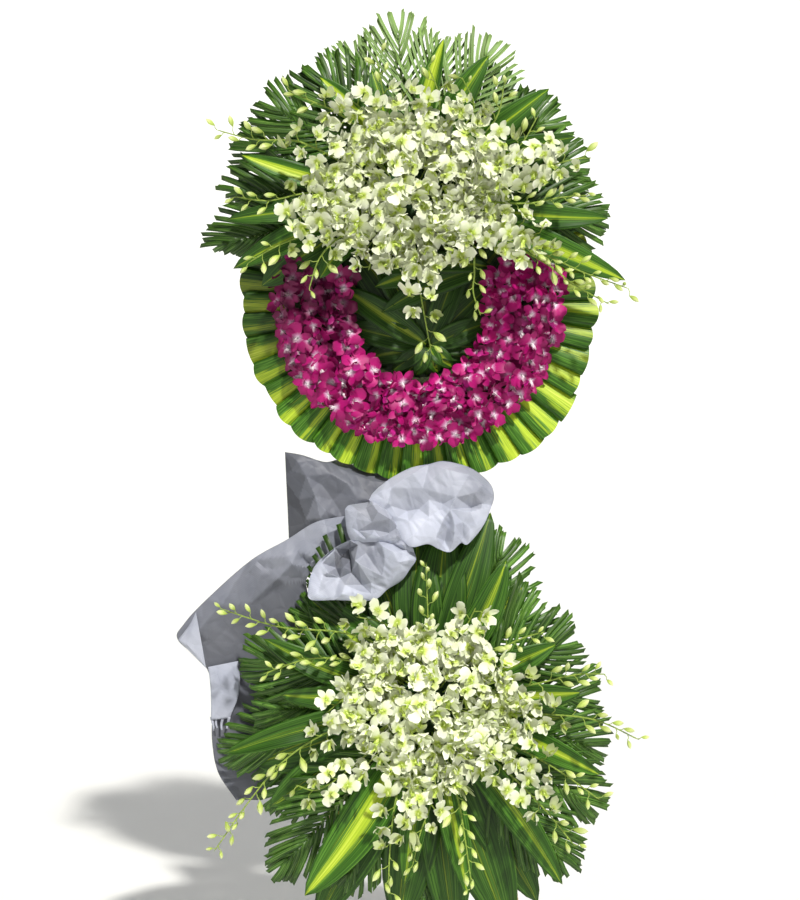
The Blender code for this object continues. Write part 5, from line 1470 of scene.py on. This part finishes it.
def crumpled(u, v, size, seed):
    """Large facets plus smaller ones, on a grid that random hills push out of shape."""
    x = u / size + 1.2 * hills(0.7 * u / size, 0.7 * v / size, seed + 2)
    y = v / size + 0.4 * u / size + 1.2 * hills(0.7 * u / size + 9, 0.7 * v / size, seed + 3)
    return 0.68 * facets(x, y, seed) + 0.32 * facets(2.1 * x, 2.1 * y, seed + 1) - 0.5


def puff(middle, outline, inside, back, wrap, crumple, seed, front=56, behind=18, spokes=240):
    """A loop of cloth. Rows run from its middle (0) to its outline (1) at the net's
    height, and then round the back (wrap): there the radius is the cosine of
    90 degrees x (row - 1), and the height falls by back x its sine to the power 0.8."""
    centre = np.array(middle, float)
    loop = through(np.array(outline + outline[:1], float)[:, :2], 600) - centre
    turn = np.arctan2(loop[:, 1], loop[:, 0]) % (2 * np.pi)
    order = np.argsort(turn)
    angle = np.linspace(0, 2 * np.pi, spokes + 1)
    reach = np.interp(angle, turn[order], np.hypot(loop[:, 0], loop[:, 1])[order], period=2 * np.pi)
    row = np.concatenate([np.linspace(0, 1, front) ** 0.85, np.linspace(1, wrap, behind)[1:]])[:, None]
    past = np.clip(row - 1, 0, None) * np.pi / 2
    rho = np.where(row > 1, np.cos(past), row)
    x, y = centre[0] + reach * rho * np.cos(angle), centre[1] + reach * rho * np.sin(angle)
    w, layers_and_painted_shade = net(outline + inside)(x, y)
    edge = w[front - 1]
    falling = edge - back * np.sin(past) ** 0.8 + (edge.mean() - edge) * np.sin(past)
    w = np.where(row > 1, falling, w - 0.004 * rho**10)
    points = seen_at(x, y, w)
    ease = np.where(row > 1, 1.0, np.clip(4 * (1.06 - rho), 0, 1))
    points[..., 2] += crumple * crumpled(points[..., 0], points[..., 1], 0.020, seed) * ease
    uv = (angle[None, :] * reach.mean() * PIXEL, row * reach.mean() * PIXEL * 1.3)
    return grid(points, layers_and_painted_shade, 0.0, 0, uv)


# %% Puff up the loops and the knot
# Each place: pixel x, pixel y, height in metres, layers of cloth, a number that also
# paints light and shade. The outline comes first and then the ends of the creases
# inside it.
right_outline = [
    (369, 500, .088, .95), (374, 492, .084, .95), (388, 480, .080, .90), (410, 468, .078, .85),
    (429, 464, .076, .85), (444, 461, .074, .80), (466, 466, .074, .70), (480, 474, .076, .65),
    (491, 485, .080, .60), (494, 496, .082, .65), (492, 505, .080, .85), (483, 526, .092, .90),
    (468, 544, .098, .85), (461, 543, .098, .70), (450, 552, .106, .95), (439, 549, .104, 1.0),
    (428, 544, .106, .95), (413, 547, .110, .90), (404, 542, .104, .90), (391, 529, .092, .80),
    (378, 515, .086, .90),
]
right_inside = [
    (380, 492, .096, 1.0), (388, 503, .096, .95), (391, 488, .096, .70), (413, 474, .098, .85),
    (444, 469, .098, .80), (469, 475, .096, .60), (483, 485, .092, .55), (391, 506, .090, .60),
    (407, 511, .083, .70), (419, 509, .086, .70), (429, 500, .092, .65), (423, 488, .096, .55),
    (442, 493, .097, .70), (398, 517, .096, 1.0), (409, 521, .099, 1.1), (429, 517, .105, 1.1),
    (439, 510, .101, .90), (444, 518, .106, .95), (413, 536, .108, 1.0), (436, 537, .106, .90),
    (450, 509, .109, 1.0), (455, 525, .111, .95), (453, 542, .107, .90), (443, 504, .093, .60),
    (448, 524, .096, .50), (445, 541, .096, .55), (456, 497, .106, .70), (474, 493, .100, .45),
    (471, 508, .084, .35), (482, 504, .084, .40), (470, 512, .100, .95), (481, 509, .096, .95),
    (463, 522, .098, .60), (470, 529, .099, .80), (477, 527, .098, .85), (463, 538, .094, .60),
]
left_outline = [
    (350, 540, .090, .80), (335, 548, .092, .85), (318, 562, .092, .95), (312, 572, .092, .95),
    (309, 583, .094, .95), (310, 599, .104, .95), (334, 600, .108, 1.0), (372, 600, .104, .90),
    (388, 589, .098, .85), (402, 580, .092, .85), (410, 569, .090, .85), (416, 560, .088, .90),
    (414, 552, .086, .90), (410, 545, .084, .80), (398, 540, .082, .70), (374, 537, .086, .70),
]
left_inside = [
    (334, 551, .100, .85), (322, 563, .098, .95), (328, 573, .102, .90), (341, 557, .066, .05),
    (349, 549, .070, .02), (336, 568, .074, .05), (351, 560, .074, .10), (343, 567, .100, .60),
    (355, 561, .106, .80), (354, 543, .100, .55), (323, 575, .096, .95), (345, 585, .100, .85),
    (359, 591, .104, 1.0), (318, 593, .106, 1.0), (342, 594, .110, 1.0), (340, 578, .088, .35),
    (352, 572, .086, .30), (362, 585, .088, .35), (358, 563, .108, .70), (371, 583, .100, .70),
    (371, 594, .102, .85), (382, 576, .106, .65), (385, 560, .110, .60), (358, 545, .096, .38),
    (366, 553, .090, .32), (376, 549, .094, .38), (382, 546, .112, 1.0), (393, 552, .114, 1.0),
    (398, 562, .108, .95), (396, 574, .104, .90), (405, 552, .098, .85), (409, 560, .100, .85),
]
knot_outline = [
    (345, 509, .078, .85), (350, 505, .078, .80), (369, 502, .080, .70), (372, 499, .082, .85),
    (382, 505, .086, .90), (393, 517, .092, .80), (398, 527, .094, .70), (409, 542, .096, .70),
    (414, 552, .094, .90), (406, 550, .096, .90), (391, 544, .098, .90), (382, 542, .098, .85),
    (366, 542, .096, .80), (354, 542, .092, .80), (348, 534, .086, .85), (346, 523, .080, .90),
]
knot_inside = [
    (351, 512, .092, .95), (352, 528, .096, .95), (356, 519, .100, .80), (358, 511, .100, .70),
    (366, 508, .096, .20), (373, 505, .100, .38), (378, 512, .108, .48), (390, 519, .110, .48),
    (372, 522, .104, .40), (358, 531, .098, .42), (374, 530, .096, .45), (389, 533, .098, .40),
    (358, 535, .106, .95), (372, 534, .106, .95), (380, 537, .104, .90), (366, 539, .098, .80),
    (398, 536, .104, .45), (403, 540, .098, .40), (404, 545, .106, .90), (392, 539, .104, .85),
]
loop_right = puff((432, 508), right_outline, right_inside, 0.034, 1.55, 0.006, 301)
loop_left = puff((362, 570), left_outline, left_inside, 0.034, 1.55, 0.006, 305)
knot = puff((377, 525), knot_outline, knot_inside, 0.050, 1.50, 0.005, 309, 44, 16, 180)


# %% The tails
def tail(first, second, places, crumple, seed, rows=90, columns=46):
    """A strip of cloth between two edges: share s of the way from one to the other, at
    the net's height, crumpled."""
    a, b = through(first, rows)[:, None], through(second, rows)[:, None]
    s = np.linspace(0, 1, columns)[None, :, None]
    pixel = a + s * (b - a)
    w, layers_and_painted_shade = net(places)(pixel[..., 0], pixel[..., 1])
    points = seen_at(pixel[..., 0], pixel[..., 1], w)
    points[..., 2] += crumple * crumpled(points[..., 0], points[..., 1], 0.030, seed)
    steps = np.linalg.norm(np.diff(points, axis=0), axis=-1).mean(1)
    run = np.concatenate([[0], np.cumsum(steps)])[:, None]
    return grid(points, layers_and_painted_shade, 0.0, 0, (s[..., 0] * 0.16, run))


# The tails' places hold x, y, height and layers of cloth, a number that also paints light and shade.
# The upper tail's top edge is tucked behind the rim.
tail_up = tail(
    [(285, 452), (302, 455), (317, 460), (327, 462), (340, 460), (356, 466), (372, 471), (390, 476)],
    [(289, 541), (305, 532), (318, 525), (331, 521), (345, 519), (360, 518), (370, 518), (384, 516)],
    [
        (284, 450, .030, .10), (302, 454, .034, .15), (317, 459, .034, .18), (327, 461, .026, .20),
        (340, 459, -.004, .20), (356, 465, -.004, .20), (372, 470, -.004, .20), (392, 475, -.004, .20),
        (340, 468, .028, .20), (356, 475, .030, .20), (372, 481, .034, .20), (390, 484, .034, .20),
        (282, 476, .028, .04), (285, 500, .030, .04), (288, 543, .028, .08), (297, 461, .044, .25),
        (306, 476, .046, .26), (315, 496, .050, .30), (326, 511, .052, .36), (320, 518, .048, .45),
        (292, 470, .036, .04), (299, 500, .034, .02), (306, 520, .034, .05), (322, 485, .036, .18),
        (333, 500, .038, .14), (331, 474, .040, .20), (348, 484, .046, .30), (357, 500, .050, .32),
        (342, 492, .038, .12), (364, 490, .040, .15), (305, 533, .030, .10), (318, 526, .034, .15),
        (331, 523, .036, .20), (345, 521, .038, .25), (360, 520, .040, .25), (386, 518, .040, .25),
        (372, 500, .044, .20),
    ],
    0.005,
    321,
)
tail_long = tail(
    [
        (365, 512), (345, 516), (316, 522), (288, 539), (250, 561), (206, 600), (184, 624), (178, 640),
        (206, 667), (212, 700), (212, 740), (218, 772), (236, 800),
    ],
    [
        (375, 535), (352, 548), (330, 560), (307, 578), (311, 612), (300, 630), (292, 642), (284, 652),
        (284, 672), (288, 700), (288, 735), (280, 770), (258, 800),
    ],
    [
        (366, 510, .048, .50), (345, 514, .046, .55), (316, 520, .042, .50), (288, 537, .034, .50),
        (250, 559, .024, .45), (205, 598, .018, .40), (182, 624, .014, .35), (176, 640, .012, .35),
        (352, 524, .054, .50), (325, 534, .054, .50), (298, 551, .048, .45), (262, 573, .040, .36),
        (222, 605, .032, .24), (200, 628, .026, .16), (335, 548, .044, .40), (310, 564, .038, .25),
        (285, 584, .032, .18), (250, 604, .026, .14), (225, 634, .020, .18), (205, 668, .014, .18),
        (377, 536, .050, .50), (353, 550, .046, .50), (331, 562, .040, .30), (309, 580, .034, .20),
        (313, 613, .028, .12), (302, 631, .022, .16), (293, 644, .018, .16), (286, 654, .014, .16),
        (286, 672, .012, .14), (290, 700, .012, .16), (290, 736, .012, .16), (282, 772, .010, .16),
        (260, 802, .008, .16), (210, 700, .014, .18), (210, 740, .012, .18), (216, 774, .012, .18),
        (235, 802, .010, .16), (284, 557, .052, .45), (278, 578, .044, .32), (272, 570, .036, .22),
        (292, 564, .052, .55), (312, 558, .052, .60), (311, 567, .044, .40),
    ],
    0.005,
    325,
    rows=130,
)

# %% [markdown]
# ## Palm tips beside the knot
#
# A few leaflets of a palm behind the bunch stick up between the long tail and the left
# loop. They matter because their dark green cuts the white of the bow in two. Each is a
# straight strip from a root behind the loop to a blunt tip, folded along its middle.

# %% Leaflets behind the left loop
TIPS = [
    (338.5, 524), (324.5, 535), (317.5, 547), (313.5, 555), (308, 566), (306.5, 580), (306, 594), (309, 606)
]
tips = np.array(TIPS)
root = np.array([376.0, 645.0])
f = np.linspace(0, 1, 8)[None, :, None]
s = np.array([-1.0, 0.0, 1.0])[None, None, :]
way = unit(tips - root)
along = root + (tips - root)[:, None, None] * f[..., None]
aside = np.stack([-way[:, 1], way[:, 0]], -1)[:, None, None]
broadest = np.array([2.9, 2.7, 2.6, 2.5, 2.0, 1.8, 1.8, 2.2])  # half widths in pixels
half = broadest[:, None, None] * np.array([0.4, 0.7, 0.9, 1, 1, 1, 1, 0.9])[None, :, None]
flat = along + (s * half)[..., None] * aside
leaflets = seen_at(flat[..., 0], flat[..., 1], 0.0630 + 0.0012 * np.abs(s) - 0.008 * (1 - f))
leaflets = grid(leaflets, [0.0, -0.1, 0.0, -0.1, -0.15, -0.1, -0.15, 0.0], 0.0)
make_piece("palm_tips_by_the_knot", [leaflets], [palm], (), PALM_T)

# %% [markdown]
# ## The bow in one place
#
# The knot holds everything, so it goes over the roots of both loops and both tails. A
# folded strip and a frayed end lie on the long tail: the strip is lit because it turns
# up towards the light, and its end has lost its cross threads, so the others hang free
# as a fringe, made as thin ribbons of their own.

# %% Folded strip, frayed end and fringe
strip = tail(
    [(178, 640), (190, 624), (196, 612)],
    [(206, 668), (202, 645), (196, 613)],
    [
        (176, 640, .024, .75), (197, 610, .030, .6), (208, 669, .026, .7), (203, 645, .030, .8),
        (188, 646, .033, .7),
    ],
    0.002,
    331,
    rows=24,
    columns=14,
)
frayed = tail(
    [(208, 667), (210, 682), (211, 700), (211, 720)],
    [(238, 661), (240, 680), (238, 697), (230, 718)],
    [
        (206, 668, .026, .7), (240, 659, .028, .7), (242, 680, .026, .6), (239, 698, .028, .6),
        (231, 722, .026, .7), (209, 700, .028, .75), (210, 722, .026, .7), (225, 676, .034, .8),
        (222, 700, .032, .7),
    ],
    0.002,
    333,
    rows=34,
    columns=20,
)
t = np.linspace(0, 1, 7)[None, :, None]
s = np.array([-1.0, 0.0, 1.0])[None, None, :]
random = np.random.default_rng(41)
start_x = np.array([212.5, 217.0, 222.5, 228.0])[:, None, None]
drop = np.array([14.0, 11.0, 13.0, 12.0])[:, None, None]
threads = seen_at(
    start_x + s * 1.5 * (1 - 0.4 * t) + 1.2 * np.sin(3 * t + start_x),
    717 + drop * t,
    0.026 + 0.002 * np.sin(4 * t + start_x),
)
fringe = grid(threads, 0.7, 0.0, 0, (s * 0.003, t * 0.02))
CLOTH_T = 0.0006
for name, shape, nodes in (
    ("bow_loop_of_cloth_right", loop_right, ["bow_loop_right"]),
    ("bow_loop_of_cloth_left", loop_left, ["bow_loop_left"]),
    ("bow_knot_of_cloth", knot, ["bow_knot"]),
    ("bow_cloth_tail_up", tail_up, ["bow_tail_up"]),
    ("bow_cloth_tail_long", tail_long, ["bow_tail_long"]),
    ("bow_cloth_strip", strip, []),
    ("bow_cloth_frayed_end", frayed, []),
    ("bow_cloth_fringe", fringe, []),
):
    make_piece(name, [shape], [organza], nodes, CLOTH_T, 28)
